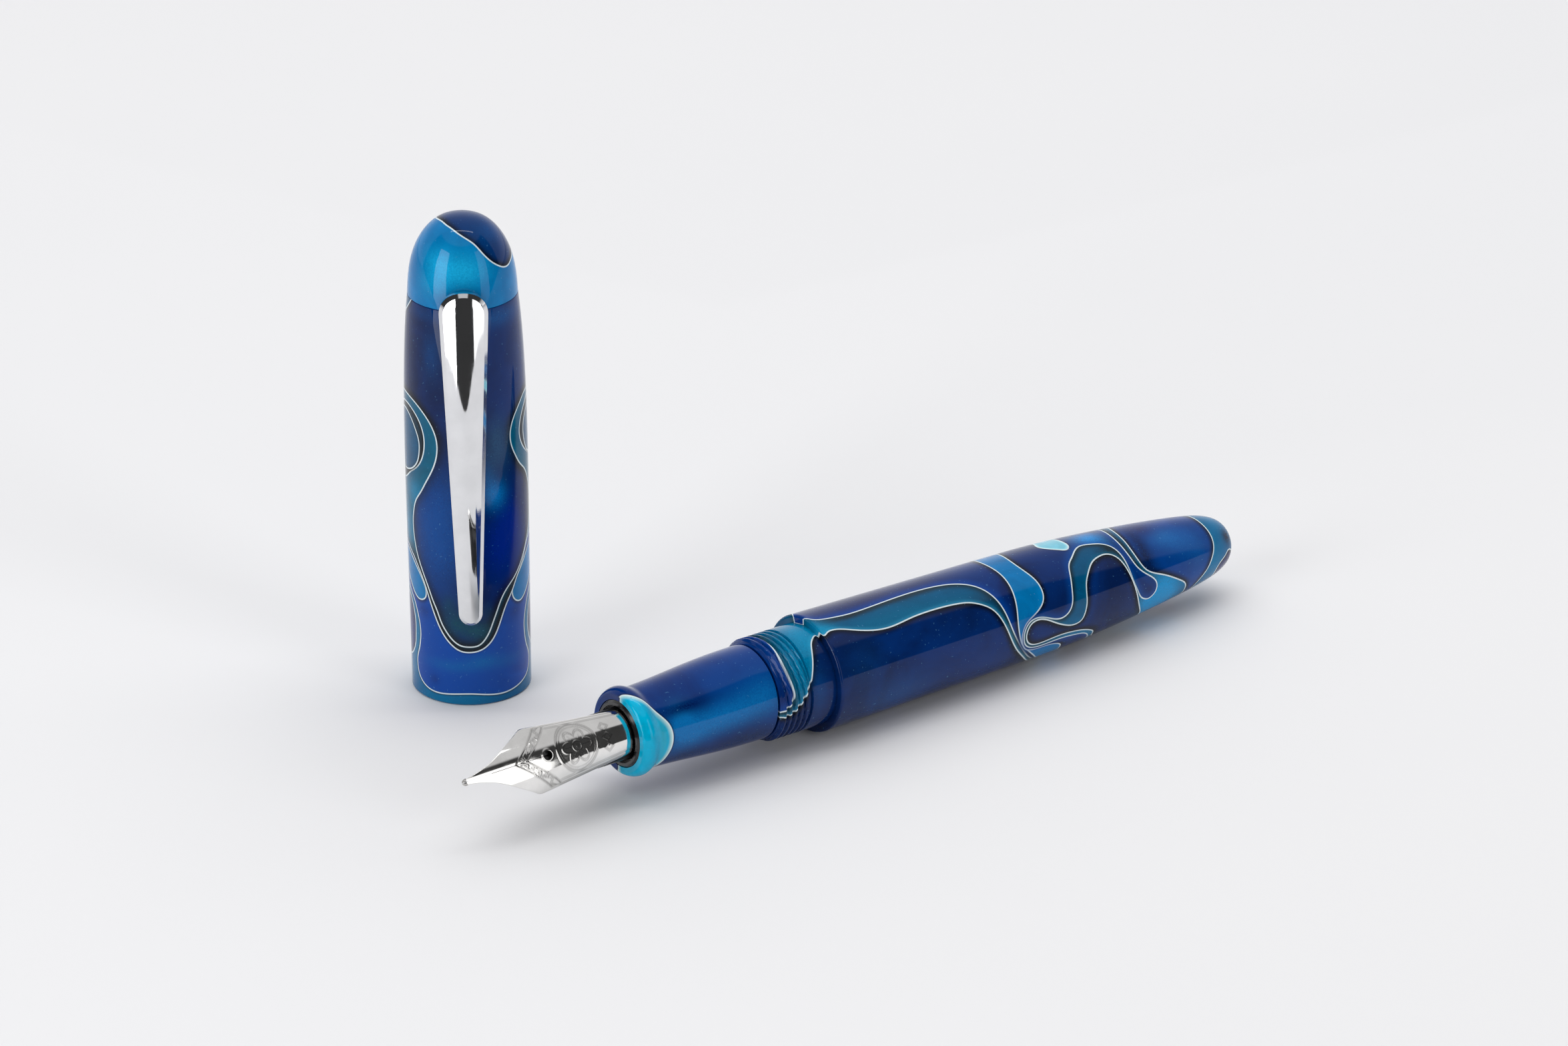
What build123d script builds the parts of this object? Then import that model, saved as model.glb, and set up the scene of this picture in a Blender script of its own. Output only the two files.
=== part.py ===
from build123d import *
import math
import os

# Fountain pen lying on its barrel, with its cap standing on its open mouth beside it.
# Millimetres. Pen parts are drawn about the X axis: x = 0 is the barrel's step, where the
# capped pen's lip stops, -x points at the nib and +x at the tail. Cap parts are drawn
# about the Z axis, with z = 0 at the lip. place_pen and place_cap then set them down.

# ---- Driving dimensions ----------------------------------------------------------------
step_r = 7.48            # barrel radius at the step
barrel_taper = 0.0168    # radius lost per millimetre along the straight front stretch
straight_end = 34.0      # the straight stretch lies flat on the table up to here
tail_x = 67.95           # blunt end of the barrel
neck_r = 6.5             # crest of the cap thread, and the plain neck behind it
neck_front = -8.3

cap_h = 62.47
seam_z = 52.5            # joint between the cap tube and the finial
lip_r = 7.43
cap_waist_r = 7.56       # widest radius, a little under half way up
seam_r = 6.74
cap_side = 36.3          # sideways distance from the pen's axis to the cap's axis
cap_along = -24.3        # place of the cap's axis along the pen
clip_azimuth = -124.2    # direction the clip faces, degrees about +Z from +X
nib_roll = 56.0          # the nib's top, rolled from straight up towards -Y

section_r = 5.94         # grip section at its rear end
bead_r = 5.6             # bead round the grip section's nose
nose_x = -28.15
housing_r = 4.2
tine_tip = -51.35
shoulder_x = -42.0
breather_x = -40.4
nib_r = 3.3              # outer radius of the nib's shank
nib_t = 0.35

cap_pitch = 0.85
cap_starts = 3
cap_thread_depth = 0.34
fine_pitch = 0.75        # grip section and finial threads
fine_depth = 0.35
housing_pitch = 0.5
spindle_lead = 4.8       # piston travel per turn of the converter's knob
break_edge = 0.2         # broken edge of a turned part

tilt = math.degrees(math.atan(barrel_taper))
axis_height = step_r * math.cos(math.radians(tilt))
pen_tip = tine_tip - 0.4


# ---- Helpers ---------------------------------------------------------------------------
def turn_x(*points):
    """Turn a closed outline of (x, radius) points about the X axis."""
    return revolve(make_face(Polyline(*points, close=True)), Axis.X)


def turn_z(*points):
    """Turn a closed outline of (radius, z) points about the Z axis."""
    return revolve(Plane.XZ * make_face(Polyline(*points, close=True)), Axis.Z)


def bar_x(x0, x1, outer, inner=0.0, bevel=0.0):
    """A round bar or tube about X, its outer edges bevelled."""
    if bevel == 0.0:
        return turn_x((x0, inner), (x0, outer), (x1, outer), (x1, inner))
    ends = [(x0, inner), (x0, outer - bevel), (x0 + bevel, outer)]
    return turn_x(*ends, (x1 - bevel, outer), (x1, outer - bevel), (x1, inner))


def thread_z(z0, z1, root, depth, pitch, starts=1, inward=False):
    """Helical ridges about Z, from z0 to z1, run out by a 45 degree taper at both ends."""
    side = -1 if inward else 1
    lead = pitch * starts
    foot = root - side * 0.1
    crest = root + side * depth
    ridge_face = Plane.XZ * make_face(Polyline(
        (foot, -0.42 * pitch), (crest, -0.12 * pitch),
        (crest, 0.12 * pitch), (foot, 0.42 * pitch), close=True))
    ridge = sweep(ridge_face, path=Helix(lead, z1 - z0 + 2 * pitch, root), is_frenet=True)
    run_out = turn_z((foot, z0), (crest, z0 + depth), (crest, z1 - depth), (foot, z1))
    ridges = [Pos(0, 0, z0 - pitch) * Rot(0, 0, 360 * i / starts) * ridge for i in range(starts)]
    return ridges, run_out


def add_thread_z(body, z0, z1, root, depth, pitch, starts=1, inward=False):
    """The body with a thread's ridges fused on."""
    ridges, run_out = thread_z(z0, z1, root, depth, pitch, starts, inward)
    for ridge in ridges:
        body += ridge & run_out
    return body


def add_thread_x(body, x0, x1, root, depth, pitch, starts=1):
    """The same about the X axis."""
    upright = Rot(0, -90, 0) * body
    return Rot(0, 90, 0) * add_thread_z(upright, x0, x1, root, depth, pitch, starts)


# ---- Barrel ----------------------------------------------------------------------------
def make_barrel():
    taper_end_r = step_r - barrel_taper * straight_end
    front = Polyline(
        (neck_front, 5.0), (neck_front, 5.95), (neck_front + 0.45, 6.18), (-7.8, 6.18),
        (-3.9, 6.18), (-3.6, neck_r), (0, neck_r), (0, step_r - 0.3))
    shoulder = RadiusArc((0, step_r - 0.3), (0.3, step_r - 0.3 * barrel_taper), 0.3)
    straight = Line(shoulder @ 1, (straight_end, taper_end_r))
    tail = Spline(
        straight @ 1, (42, 6.56), (50, 5.93), (57, 5.2), (62, 4.52), (65.3, 3.75), (67.2, 2.6),
        (tail_x, 0), tangents=[(1, -barrel_taper), (0, -1)])
    bore = Polyline(
        tail @ 1, (60.2, 0), (59.4, 3.45), (51.6, 3.45), (50.6, 4.3), (1.6, 4.3), (0.8, 5.0),
        (neck_front, 5.0))
    shell = revolve(make_face([front, shoulder, straight, tail, bore]), Axis.X)
    return add_thread_x(shell, -8.1, -3.75, 6.16, cap_thread_depth, cap_pitch, cap_starts)


# ---- Grip section ----------------------------------------------------------------------
def make_grip_section():
    bead_back = (-25.3, 5.12)
    nose = Spline((nose_x, 4.75), (-27.15, bead_r), bead_back, tangents=[(-0.5, 1), (1, 0.02)])
    grip = Spline(
        bead_back, (-19, 5.49), (-13, 5.87), (-8.65, section_r),
        tangents=[(1, 0.02), (1, 0)])
    rear = Polyline(
        grip @ 1, (-8.35, section_r - 0.3), (-8.35, 4.5), (-0.9, 4.5), (-0.6, 4.3), (-0.6, 4.05),
        (-17.0, 4.05), (-17.0, 3.75), (nose_x + 0.85, 3.75), (nose_x + 0.85, 4.25),
        (nose_x, 4.25), (nose_x, 4.75))
    body = revolve(make_face([nose, grip, rear]), Axis.X)
    return add_thread_x(body, -7.4, -0.9, 4.48, fine_depth, fine_pitch)


# ---- Nib unit --------------------------------------------------------------------------
def make_nib_housing():
    front = nose_x - 0.2
    shell = turn_x(
        (front, 3.62), (front, 3.95), (front + 0.25, housing_r), (front + 1.0, housing_r),
        (front + 1.0, 3.42), (-16.9, 3.42), (-16.9, 2.1), (-15.9, 2.1), (-15.9, 1.3),
        (-10.9, 1.15), (-10.6, 0.95), (-10.6, 0.6), (-19.9, 0.6), (-19.9, 1.98), (-21.6, 1.98),
        (-21.6, 3.33), (front + 0.7, 3.33), (front + 0.7, 3.62))
    return add_thread_x(shell, -26.6, -17.4, 3.4, 0.28, housing_pitch)


def arch(x, crest, radius, thickness):
    """Cross-section of the nib at x: an arc of sheet, 140 degrees wide, crest upwards."""
    centre = crest - radius
    half = math.radians(70)
    inner = radius - thickness
    left = (-radius * math.sin(half), centre + radius * math.cos(half))
    right = (radius * math.sin(half), centre + radius * math.cos(half))
    low_left = (-inner * math.sin(half), centre + inner * math.cos(half))
    low_right = (inner * math.sin(half), centre + inner * math.cos(half))
    outline = [
        ThreePointArc(left, (0, crest), right), Line(right, low_right),
        ThreePointArc(low_right, (0, crest - thickness), low_left), Line(low_left, left)]
    return Plane(origin=(x, 0, 0), x_dir=(0, 1, 0), z_dir=(1, 0, 0)) * make_face(outline)


def nib_outline():
    """The nib seen from above its crest, as a face in XY."""
    tine = Spline(
        (tine_tip, 0.36), (-49.4, 0.75), (-47.7, 1.3), (-45.6, 2.34), (shoulder_x - 0.5, 3.87),
        tangents=[(1, 0.12), (1, 0.5)])
    corner = Spline(tine @ 1, (shoulder_x + 0.5, 4.08), tangents=[(1, 0.5), (1, -0.1)])
    side = Polyline(corner @ 1, (nose_x, 2.75), (-22.6, 2.7))
    half = [tine, corner, side]
    other = [mirror(e, Plane.XZ) for e in half]
    ends = [Line((tine_tip, -0.36), (tine_tip, 0.36)), Line((-22.6, 2.7), (-22.6, -2.7))]
    return make_face(half + other + ends)


def make_nib():
    sheet = loft([
        arch(nose_x, nib_r, nib_r, nib_t), arch(-32.0, 3.3, 3.5, nib_t),
        arch(-37.2, 3.26, 4.2, nib_t), arch(shoulder_x, 2.98, 5.3, nib_t),
        arch(-47.0, 2.4, 5.6, 0.42), arch(-52.0, 1.6, 5.8, 0.5)])
    shank = loft([arch(-22.5, nib_r, nib_r, nib_t), arch(nose_x, nib_r, nib_r, nib_t)])
    body = (sheet + shank) & extrude(nib_outline(), 12)
    body -= Pos(breather_x, 0, 0) * Cylinder(0.58, 12)
    slit = Pos((tine_tip + breather_x) / 2 - 0.5, 0, 0) * Box(breather_x - tine_tip + 1, 0.06, 12)
    return body - slit


def make_nib_tipping():
    """Two hard pellets, one under the end of each tine."""
    ball = Pos(tine_tip + 0.08, 0, 1.28) * scale(Sphere(0.44), (1.1, 1.0, 0.95))
    half_gap = 0.03
    sides = [Pos(0, side * (half_gap + 1), 0) * Box(200, 2, 20) for side in (-1, 1)]
    return Compound([(ball & half).solid() for half in sides])


def make_feed():
    """Comb-finned feed that fills the underside of the nib."""
    body = bar_x(-47.5, -21.7, 2.9)
    body += bar_x(-47.5, -21.7, 3.26) & (Pos(-34, 0, -1.5) * Box(30, 8, 5))
    belly = Spline(
        (-47.5, 1.2), (-45.5, 0.45), (-41, -1.3), (-36.5, -2.7), (-33, -3.3),
        tangents=[(1, -0.6), (1, -0.1)])
    back = Polyline(
        belly @ 1, (-21.7, -3.3), (-21.7, 2.85), (-34, 2.85), (-37, 2.7), (-41, 2.25), (-47.5, 1.2))
    body &= extrude(Plane.XZ * make_face([belly, back]), 4, both=True)
    plan = make_face(Polyline(
        (-21.7, -3.3), (-21.7, 3.3), (-36, 3.1), (-43.5, 1.6), (-47.4, 0.55), (-47.4, -0.55),
        (-43.5, -1.6), (-36, -3.1), close=True))
    body &= extrude(plan, 4, both=True)
    for i in range(9):
        slot = bar_x(-36.6 + 0.85 * i, -36.6 + 0.85 * i + 0.32, 3.4, 2.1)
        body -= slot & (Pos(-33, 0, -2.6) * Box(12, 8, 4.6))
    body -= Pos(-34.5, 0, 2.7) * Box(26, 0.25, 1.2)
    return body + bar_x(-21.8, -20.0, 1.93)


# ---- Converter -------------------------------------------------------------------------
def make_converter_tube():
    return turn_x(
        (-15.7, 2.2), (-15.7, 3.35), (-15.4, 3.6), (21.0, 3.6), (21.0, 3.3), (24.5, 3.3),
        (24.5, 3.0), (-9.6, 3.0), (-9.9, 2.2))


def make_converter_mouth():
    """Soft sealing collar inside the tube's mouth, which seats on the housing's nipple."""
    return turn_x((-15.7, 1.6), (-15.7, 2.18), (-10.2, 2.18), (-10.2, 1.36), (-15.2, 1.36))


def make_converter_collar():
    """Plated sleeve that joins the tube to the drive."""
    return turn_x(
        (21.1, 3.34), (21.1, 3.5), (21.35, 3.75), (35.0, 3.75), (35.25, 3.5), (35.25, 2.6),
        (34.4, 2.6), (34.4, 3.0), (24.6, 3.0), (24.6, 3.34))


def make_spindle_guide():
    """Fixed guide with a two-sided hole, which keeps the spindle from turning."""
    guide = bar_x(24.7, 26.2, 2.96, 1.12)
    for side in (-1, 1):
        guide += Pos(25.45, 0, side * 1.05) * Box(1.5, 1.6, 0.3)
    return guide


def make_drive_nut():
    return turn_x(
        (26.35, 1.08), (26.35, 2.9), (34.2, 2.9), (34.2, 2.3), (35.6, 2.3), (35.6, 1.08))


def make_converter_knob():
    knob = turn_x(
        (35.4, 2.34), (35.4, 3.2), (36.2, 3.2), (36.5, 2.95), (37.0, 2.95), (37.3, 3.2),
        (49.4, 3.2), (50.0, 2.6), (50.0, 0), (49.0, 0), (49.0, 1.3), (35.7, 1.3), (35.7, 2.34))
    groove = Pos(43.5, 3.32, 0) * Box(10.4, 0.5, 0.42)
    for i in range(24):
        knob -= Rot(15 * i, 0, 0) * groove
    return knob


def make_piston_spindle():
    """Threaded rod with two flats; its nose holds the piston seal."""
    rod = bar_x(-9.1, 26.0, 0.82)
    rod = add_thread_x(rod, -5.2, 26.0, 0.8, 0.22, spindle_lead / 4, 4)
    rod &= Pos(10, 0, 0) * Box(80, 4, 1.7)
    return rod + bar_x(-9.1, -8.5, 1.3) + bar_x(-6.2, -5.4, 1.5)


def make_piston_seal():
    return turn_x(
        (-9.3, 1.34), (-9.3, 2.5), (-8.9, 2.97), (-8.4, 2.97), (-8.0, 2.6), (-7.2, 2.6),
        (-6.8, 2.97), (-6.3, 2.97), (-6.3, 0.86), (-8.45, 0.86), (-8.45, 1.34))


# ---- Cap -------------------------------------------------------------------------------
def make_cap_tube():
    wall = Spline(
        (lip_r, break_edge), (cap_waist_r, 27), (7.4, 42), (seam_r, seam_z - 0.08),
        tangents=[(0, 1), (-0.11, 1)])
    top = Polyline(
        wall @ 1, (seam_r - 0.08, seam_z), (6.3, seam_z), (6.3, seam_z - 0.5),
        (4.7, seam_z - 0.5), (4.7, 57.2), (4.4, 57.5), (4.0, 57.5), (4.0, 46.0), (6.3, 46.0),
        (6.3, 8.8), (6.62, 8.4), (6.62, 0.35), (6.85, 0), (lip_r - break_edge, 0),
        (lip_r, break_edge))
    tube = revolve(Plane.XZ * make_face([wall, top]), Axis.Z)
    tube = add_thread_z(tube, 4.0, 8.6, 6.62, cap_thread_depth - 0.04, cap_pitch, cap_starts, inward=True)
    tube = add_thread_z(tube, 53.1, 57.3, 4.68, fine_depth, fine_pitch)
    arm_notch = Pos(6.2, 0, seam_z) * Box(3.2, 3.5, 1.2)
    return tube - Rot(0, 0, clip_azimuth) * arm_notch


def make_cap_finial():
    dome = Spline(
        (seam_r, seam_z + 0.08), (6.5, 55.4), (5.9, 57.9), (4.9, 59.9), (2.95, 61.8), (0, cap_h),
        tangents=[(-0.05, 1), (-1, 0)])
    inside = Polyline(
        dome @ 1, (0, 57.9), (4.4, 57.9), (5.08, 57.3), (5.08, seam_z), (seam_r - 0.08, seam_z),
        (seam_r, seam_z + 0.08))
    finial = revolve(Plane.XZ * make_face([dome, inside]), Axis.Z)
    arm_notch = Pos(6.6, 0, seam_z) * Box(1.4, 3.5, 0.6)
    return finial - Rot(0, 0, clip_azimuth) * arm_notch


def make_inner_cap():
    """Liner that closes over the nib and keeps it from drying."""
    return turn_z(
        (5.5, 29.0), (6.26, 29.0), (6.26, 45.9), (3.96, 45.9), (3.96, 54.2), (0, 54.2),
        (0, 53.2), (2.9, 53.2), (2.9, 46.6), (4.9, 43.6), (4.9, 29.6))


def make_clip_ring():
    return turn_z((5.1, seam_z - 0.48), (6.1, seam_z - 0.48), (6.1, seam_z - 0.02), (5.1, seam_z - 0.02))


def make_clip():
    """Spring clip: an arm through the seam, and a crowned blade with full-round ends."""
    top_z = 55.4
    foot_z = 11.6
    top_half = 2.98
    foot_half = 1.45
    outline = make_hull([
        *(Pos(0, top_z - top_half) * CenterArc((0, 0), top_half, 0, 180)).edges(),
        *(Pos(0, foot_z + foot_half) * CenterArc((0, 0), foot_half, 180, 180)).edges()])
    blade = extrude(Plane.YZ * outline, 14)
    front = Spline((8.35, top_z + 0.1), (8.95, 47), (9.2, 30), (9.05, foot_z - 0.1))
    back = Spline((8.0, foot_z - 0.1), (8.05, 30), (7.8, 47), (7.1, top_z + 0.1))
    side = make_face([front, Line(front @ 1, back @ 0), back, Line(back @ 1, front @ 0)])
    blade &= extrude(Plane.XZ * side, 5, both=True)
    crown = Pos(-1.95, 0, 34) * Cylinder(11.15, 60)
    blade &= crown
    arm = Pos(6.95, 0, seam_z - 0.26) * Box(1.65, 3.2, 0.42)
    root = Pos(7.55, 0, seam_z - 0.1) * Box(0.9, 3.2, 0.9)
    foot = Pos(8.25, 0, 14.2) * scale(Sphere(1.0), (0.7, 1.0, 1.6))
    return Rot(0, 0, clip_azimuth) * (blade + arm + root + foot)


# ---- Setting down ----------------------------------------------------------------------
lean = math.cos(math.radians(tilt))
pen_x = -(tail_x + pen_tip) / 2 * lean
pen_y = -(cap_side + cap_waist_r - step_r) / 2
pen_place = Pos(pen_x, pen_y, axis_height) * Rot(0, tilt, 0)
nib_place = pen_place * Rot(nib_roll, 0, 0)
cap_place = Pos(pen_x + cap_along, pen_y + cap_side, 0)

parts = {
    "barrel": pen_place * make_barrel(),
    "grip_section": pen_place * make_grip_section(),
    "nib_housing": pen_place * make_nib_housing(),
    "nib": nib_place * make_nib(),
    "nib_tipping": nib_place * make_nib_tipping(),
    "feed": nib_place * make_feed(),
    "converter_tube": pen_place * make_converter_tube(),
    "converter_mouth": pen_place * make_converter_mouth(),
    "converter_collar": pen_place * make_converter_collar(),
    "spindle_guide": pen_place * make_spindle_guide(),
    "drive_nut": pen_place * make_drive_nut(),
    "converter_knob": pen_place * make_converter_knob(),
    "piston_spindle": pen_place * make_piston_spindle(),
    "piston_seal": pen_place * make_piston_seal(),
    "cap_tube": cap_place * make_cap_tube(),
    "cap_finial": cap_place * make_cap_finial(),
    "inner_cap": cap_place * make_inner_cap(),
    "clip_ring": cap_place * make_clip_ring(),
    "clip": cap_place * make_clip(),
}

os.makedirs("parts", exist_ok=True)
for name, solid in parts.items():
    export_step(solid, os.path.join("parts", name + ".step"))
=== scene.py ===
import math
import bmesh
import bpy
import numpy as np
from mathutils import Matrix, Vector


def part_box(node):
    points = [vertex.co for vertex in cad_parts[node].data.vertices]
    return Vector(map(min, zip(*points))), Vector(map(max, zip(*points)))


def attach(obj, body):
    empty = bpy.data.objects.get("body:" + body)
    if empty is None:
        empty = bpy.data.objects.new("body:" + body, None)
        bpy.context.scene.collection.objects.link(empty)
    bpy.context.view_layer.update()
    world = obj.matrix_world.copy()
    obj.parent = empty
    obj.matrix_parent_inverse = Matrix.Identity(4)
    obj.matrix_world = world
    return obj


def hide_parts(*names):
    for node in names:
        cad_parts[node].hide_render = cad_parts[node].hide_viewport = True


# Looks for the fountain pen: swirled acrylic barrel, grip section, cap tube and finial, a chromed
# clip, and an engraved steel nib. Outlines are in millimetres, in the same local axes as the parts:
# pen pieces about X from the barrel's step, cap pieces about Z from the lip. A point of the swirl is
# (place along the axis in mm, angle round it in degrees).

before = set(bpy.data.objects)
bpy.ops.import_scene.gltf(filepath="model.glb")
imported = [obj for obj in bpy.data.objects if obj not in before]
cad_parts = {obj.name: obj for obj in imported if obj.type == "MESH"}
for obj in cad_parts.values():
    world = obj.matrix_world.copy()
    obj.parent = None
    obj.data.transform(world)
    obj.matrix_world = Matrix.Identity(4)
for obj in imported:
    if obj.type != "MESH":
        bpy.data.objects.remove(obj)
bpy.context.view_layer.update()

MM = 0.001
CLIP_AZIMUTH = -124.2
TAPER = 0.0168
STEP_R = 7.48
TAIL_X = 67.95
TILT = math.atan(TAPER)
NIB_ROLL = 56.0

cap_low, cap_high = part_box("cap_tube")
CAP_AXIS = np.array([(cap_low.x + cap_high.x) / 2, (cap_low.y + cap_high.y) / 2, 0.0]) / MM
barrel_low, barrel_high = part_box("barrel")
PEN_ORIGIN = np.array([
    barrel_high.x / MM - TAIL_X * math.cos(TILT),
    (barrel_low.y + barrel_high.y) / 2 / MM,
    STEP_R * math.cos(TILT)])


# ---- Curves and places -----------------------------------------------------------------
def cubic(points, start=None, end=None, step=0.1):
    """Points about a step apart on a smooth curve through a few points; returns (places, knots)."""
    p = np.array(points, float)
    h = np.linalg.norm(np.diff(p, axis=0), axis=1)
    n = len(p)
    a = np.zeros((n, n))
    b = np.zeros_like(p)
    for i in range(1, n - 1):
        a[i, i - 1:i + 2] = 1 / h[i - 1], 2 / h[i - 1] + 2 / h[i], 1 / h[i]
        b[i] = 3 * ((p[i] - p[i - 1]) / h[i - 1] ** 2 + (p[i + 1] - p[i]) / h[i] ** 2)
    for row, near, gap, tangent in ((0, 1, h[0], start), (n - 1, n - 2, h[-1], end)):
        if tangent is None:
            a[row, row], a[row, near] = 2, 1
            b[row] = 3 * (p[max(row, near)] - p[min(row, near)]) / gap
        else:
            a[row, row] = 1
            b[row] = np.array(tangent, float) / np.linalg.norm(tangent)
    m = np.linalg.solve(a, b)
    out = []
    knots = [0]
    for i in range(n - 1):
        count = max(1, round(h[i] / step))
        t = (np.arange(count) / count)[:, None]
        out.append(
            (1 + 2 * t) * (1 - t) ** 2 * p[i] + t * (1 - t) ** 2 * h[i] * m[i]
            + t * t * (3 - 2 * t) * p[i + 1] + t * t * (t - 1) * h[i] * m[i + 1])
        knots.append(knots[-1] + count)
    out.append(p[-1:])
    return np.concatenate(out), knots


def loop(points, turn=0.0, mm_per_degree=0.13):
    """A closed smooth curve on the surface. With turn=360 it runs once round the axis."""
    p = np.array(points, float)
    shift = np.array([0, turn])
    longer = np.concatenate([p[-3:] - shift, p, p[:4] + shift]) * [1, mm_per_degree]
    places, knots = cubic(longer, step=0.2)
    return places[knots[3]:knots[3 + len(p)]] / [1, mm_per_degree]


def pen_place(s, radius, angle):
    """Row-frame millimetres of a point on a pen piece. Angle 0 is up, 90 is towards -Y."""
    rad = np.radians(angle)
    y = -radius * np.sin(rad)
    z = radius * np.cos(rad)
    return np.stack([
        PEN_ORIGIN[0] + s * math.cos(TILT) + z * math.sin(TILT),
        PEN_ORIGIN[1] + y,
        PEN_ORIGIN[2] - s * math.sin(TILT) + z * math.cos(TILT)], -1)


def cap_place(z, radius, angle):
    """Row-frame millimetres of a point on a cap piece. Angle 0 is the clip's middle."""
    rad = np.radians(CLIP_AZIMUTH + angle)
    return np.stack([
        CAP_AXIS[0] + radius * np.cos(rad), CAP_AXIS[1] + radius * np.sin(rad), z + 0 * angle], -1)


def signed_distance(at, curve, turn, columns, rows, radius_at, place):
    """Distance in mm from every grid point to a curve, positive inside it or above a ring."""
    radius = radius_at(curve[:, 0])
    q = place(curve[:, 0], radius, curve[:, 1])
    q_next = np.roll(q, -1, axis=0)
    flat = at.reshape(-1, 3)
    best = np.empty(len(flat))
    middle = q.mean(0)
    q_near = (q - middle).astype(np.float32)
    q_square = (q_near * q_near).sum(1)
    for first in range(0, len(flat), 8192):
        v = flat[first:first + 8192]
        near = (q_square - 2 * (v - middle).astype(np.float32) @ q_near.T).argmin(1)
        least = np.full(len(v), np.inf)
        for side in (-1, 0):
            a = q[(near + side) % len(q)]
            run = q_next[(near + side) % len(q)] - a
            t = ((v - a) * run).sum(1) / np.maximum((run * run).sum(1), 1e-12)
            gap = v - a - np.clip(t, 0, 1)[:, None] * run
            least = np.minimum(least, np.sqrt((gap * gap).sum(1)))
        best[first:first + 8192] = least
    best = best.reshape(at.shape[:2])
    follow = np.roll(curve, -1, axis=0)
    follow[-1] += [0, turn]
    for j, angle in enumerate(columns):
        crossings = []
        for whole in range(-4, 5):
            target = angle + 360 * whole
            hit = (curve[:, 1] <= target) != (follow[:, 1] <= target)
            a, b = curve[hit], follow[hit]
            crossings.append(a[:, 0] + (target - a[:, 1]) / (b[:, 1] - a[:, 1]) * (b[:, 0] - a[:, 0]))
        below = np.searchsorted(np.sort(np.concatenate(crossings)), rows)
        best[:, j] *= np.where(below % 2 == 1, 1, -1)
    return np.clip(best, -6, 6)


# ---- Meshes ----------------------------------------------------------------------------
def make_mesh(name, co, faces, sharp=35.0):
    mesh = bpy.data.meshes.new(name)
    mesh.from_pydata((co * MM).tolist(), [], faces)
    mesh.validate()
    mesh.shade_smooth()
    mesh.set_sharp_from_angle(angle=math.radians(sharp))
    piece = bpy.data.objects.new(name, mesh)
    bpy.context.scene.collection.objects.link(piece)
    return piece


def lathe(name, outline, columns, place, swirls, tints, skin, relief=None):
    """A turned piece. The outline is (place along the axis, radius) points; a radius of zero
    closes it on the axis, and otherwise its ends join. The swirls' distances and the tints'
    strengths become attributes."""
    s = outline[:, 0]
    angles = np.arange(columns) * 360.0 / columns
    s_grid, a_grid = np.meshgrid(s, angles, indexing="ij")
    r_grid = np.repeat(outline[:, 1:2], columns, axis=1)
    if relief:
        r_grid = relief(s_grid, a_grid, r_grid)
    co = place(s_grid, r_grid, a_grid)
    poles = outline[0, 1] == 0
    rows = len(s)
    index = np.arange(rows * columns).reshape(rows, columns)
    across = np.roll(index, -1, axis=1)
    if poles:
        body = slice(1, rows - 1)
        lower, upper = index[1:-2], index[2:-1]
        lower_next, upper_next = across[1:-2], across[2:-1]
    else:
        body = slice(0, rows)
        lower, upper = index, np.roll(index, -1, axis=0)
        lower_next, upper_next = across, np.roll(across, -1, axis=0)
    faces = np.stack([lower, lower_next, upper_next, upper], -1).reshape(-1, 4).tolist()
    vertices = co.reshape(-1, 3)
    kept = np.arange(rows * columns)
    if poles:
        faces += [[index[0, 0], across[1, j], index[1, j]] for j in range(columns)]
        faces += [[index[-1, 0], index[-2, j], across[-2, j]] for j in range(columns)]
        kept = np.concatenate([[0], index[body].ravel(), [index[-1, 0]]])
        renumber = np.zeros(rows * columns, int)
        renumber[kept] = np.arange(len(kept))
        faces = [renumber[f].tolist() for f in faces]
    piece = make_mesh(name, vertices[kept], faces)
    on_skin = place(s_grid, skin(s_grid), a_grid)
    for label, points, turn in swirls:
        curve = loop(points, turn)
        d = signed_distance(on_skin, curve, turn, angles, s, skin, place)
        layer = piece.data.attributes.new("swirl_" + label, "FLOAT", "POINT")
        layer.data.foreach_set("value", d.reshape(-1)[kept].astype(np.float32))
    for label, groups in tints.items():
        for number, (colour, spots) in enumerate(groups):
            amount = 0
            for along, angle, length, width, peak in spots:
                round_by = np.radians((a_grid - angle + 180) % 360 - 180) * skin(s_grid)
                amount = amount + peak * np.exp(-((s_grid - along) / length) ** 2 - (round_by / width) ** 2)
            layer = piece.data.attributes.new(f"tint_{label}_{number}", "FLOAT", "POINT")
            layer.data.foreach_set("value", np.minimum(amount, 1).reshape(-1)[kept].astype(np.float32))
    return piece


def outward(piece):
    """Turn every face's normal away from the solid."""
    mesh = bmesh.new()
    mesh.from_mesh(piece.data)
    bmesh.ops.recalc_face_normals(mesh, faces=mesh.faces)
    mesh.to_mesh(piece.data)
    mesh.free()
    return piece


def thread(s, angle, first, last, root, depth, pitch, starts):
    """Radius of a right-hand thread's surface, run out at both ends."""
    phase = s / pitch - starts * angle / 360.0
    off = np.abs(phase - np.floor(phase) - 0.5)
    ridge = np.clip((off - 0.08) / 0.30, 0, 1)
    ridge = ridge * ridge * (3 - 2 * ridge)
    ends = np.clip(np.minimum(s - first, last - s) / abs(depth), 0, 1)
    return root + depth * ridge * ends


def line_of(*points, step=0.25):
    """Straight runs through the points, cut about a step long."""
    out = []
    for a, b in zip(points[:-1], points[1:]):
        count = max(1, round(math.dist(a, b) / step))
        t = (np.arange(count) / count)[:, None]
        out.append(np.array(a) * (1 - t) + np.array(b) * t)
    out.append(np.array(points[-1:], float))
    return np.concatenate(out)


def join(*runs):
    """One outline from runs whose ends meet."""
    return np.concatenate([r[:-1] for r in runs[:-1]] + [runs[-1]])


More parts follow.
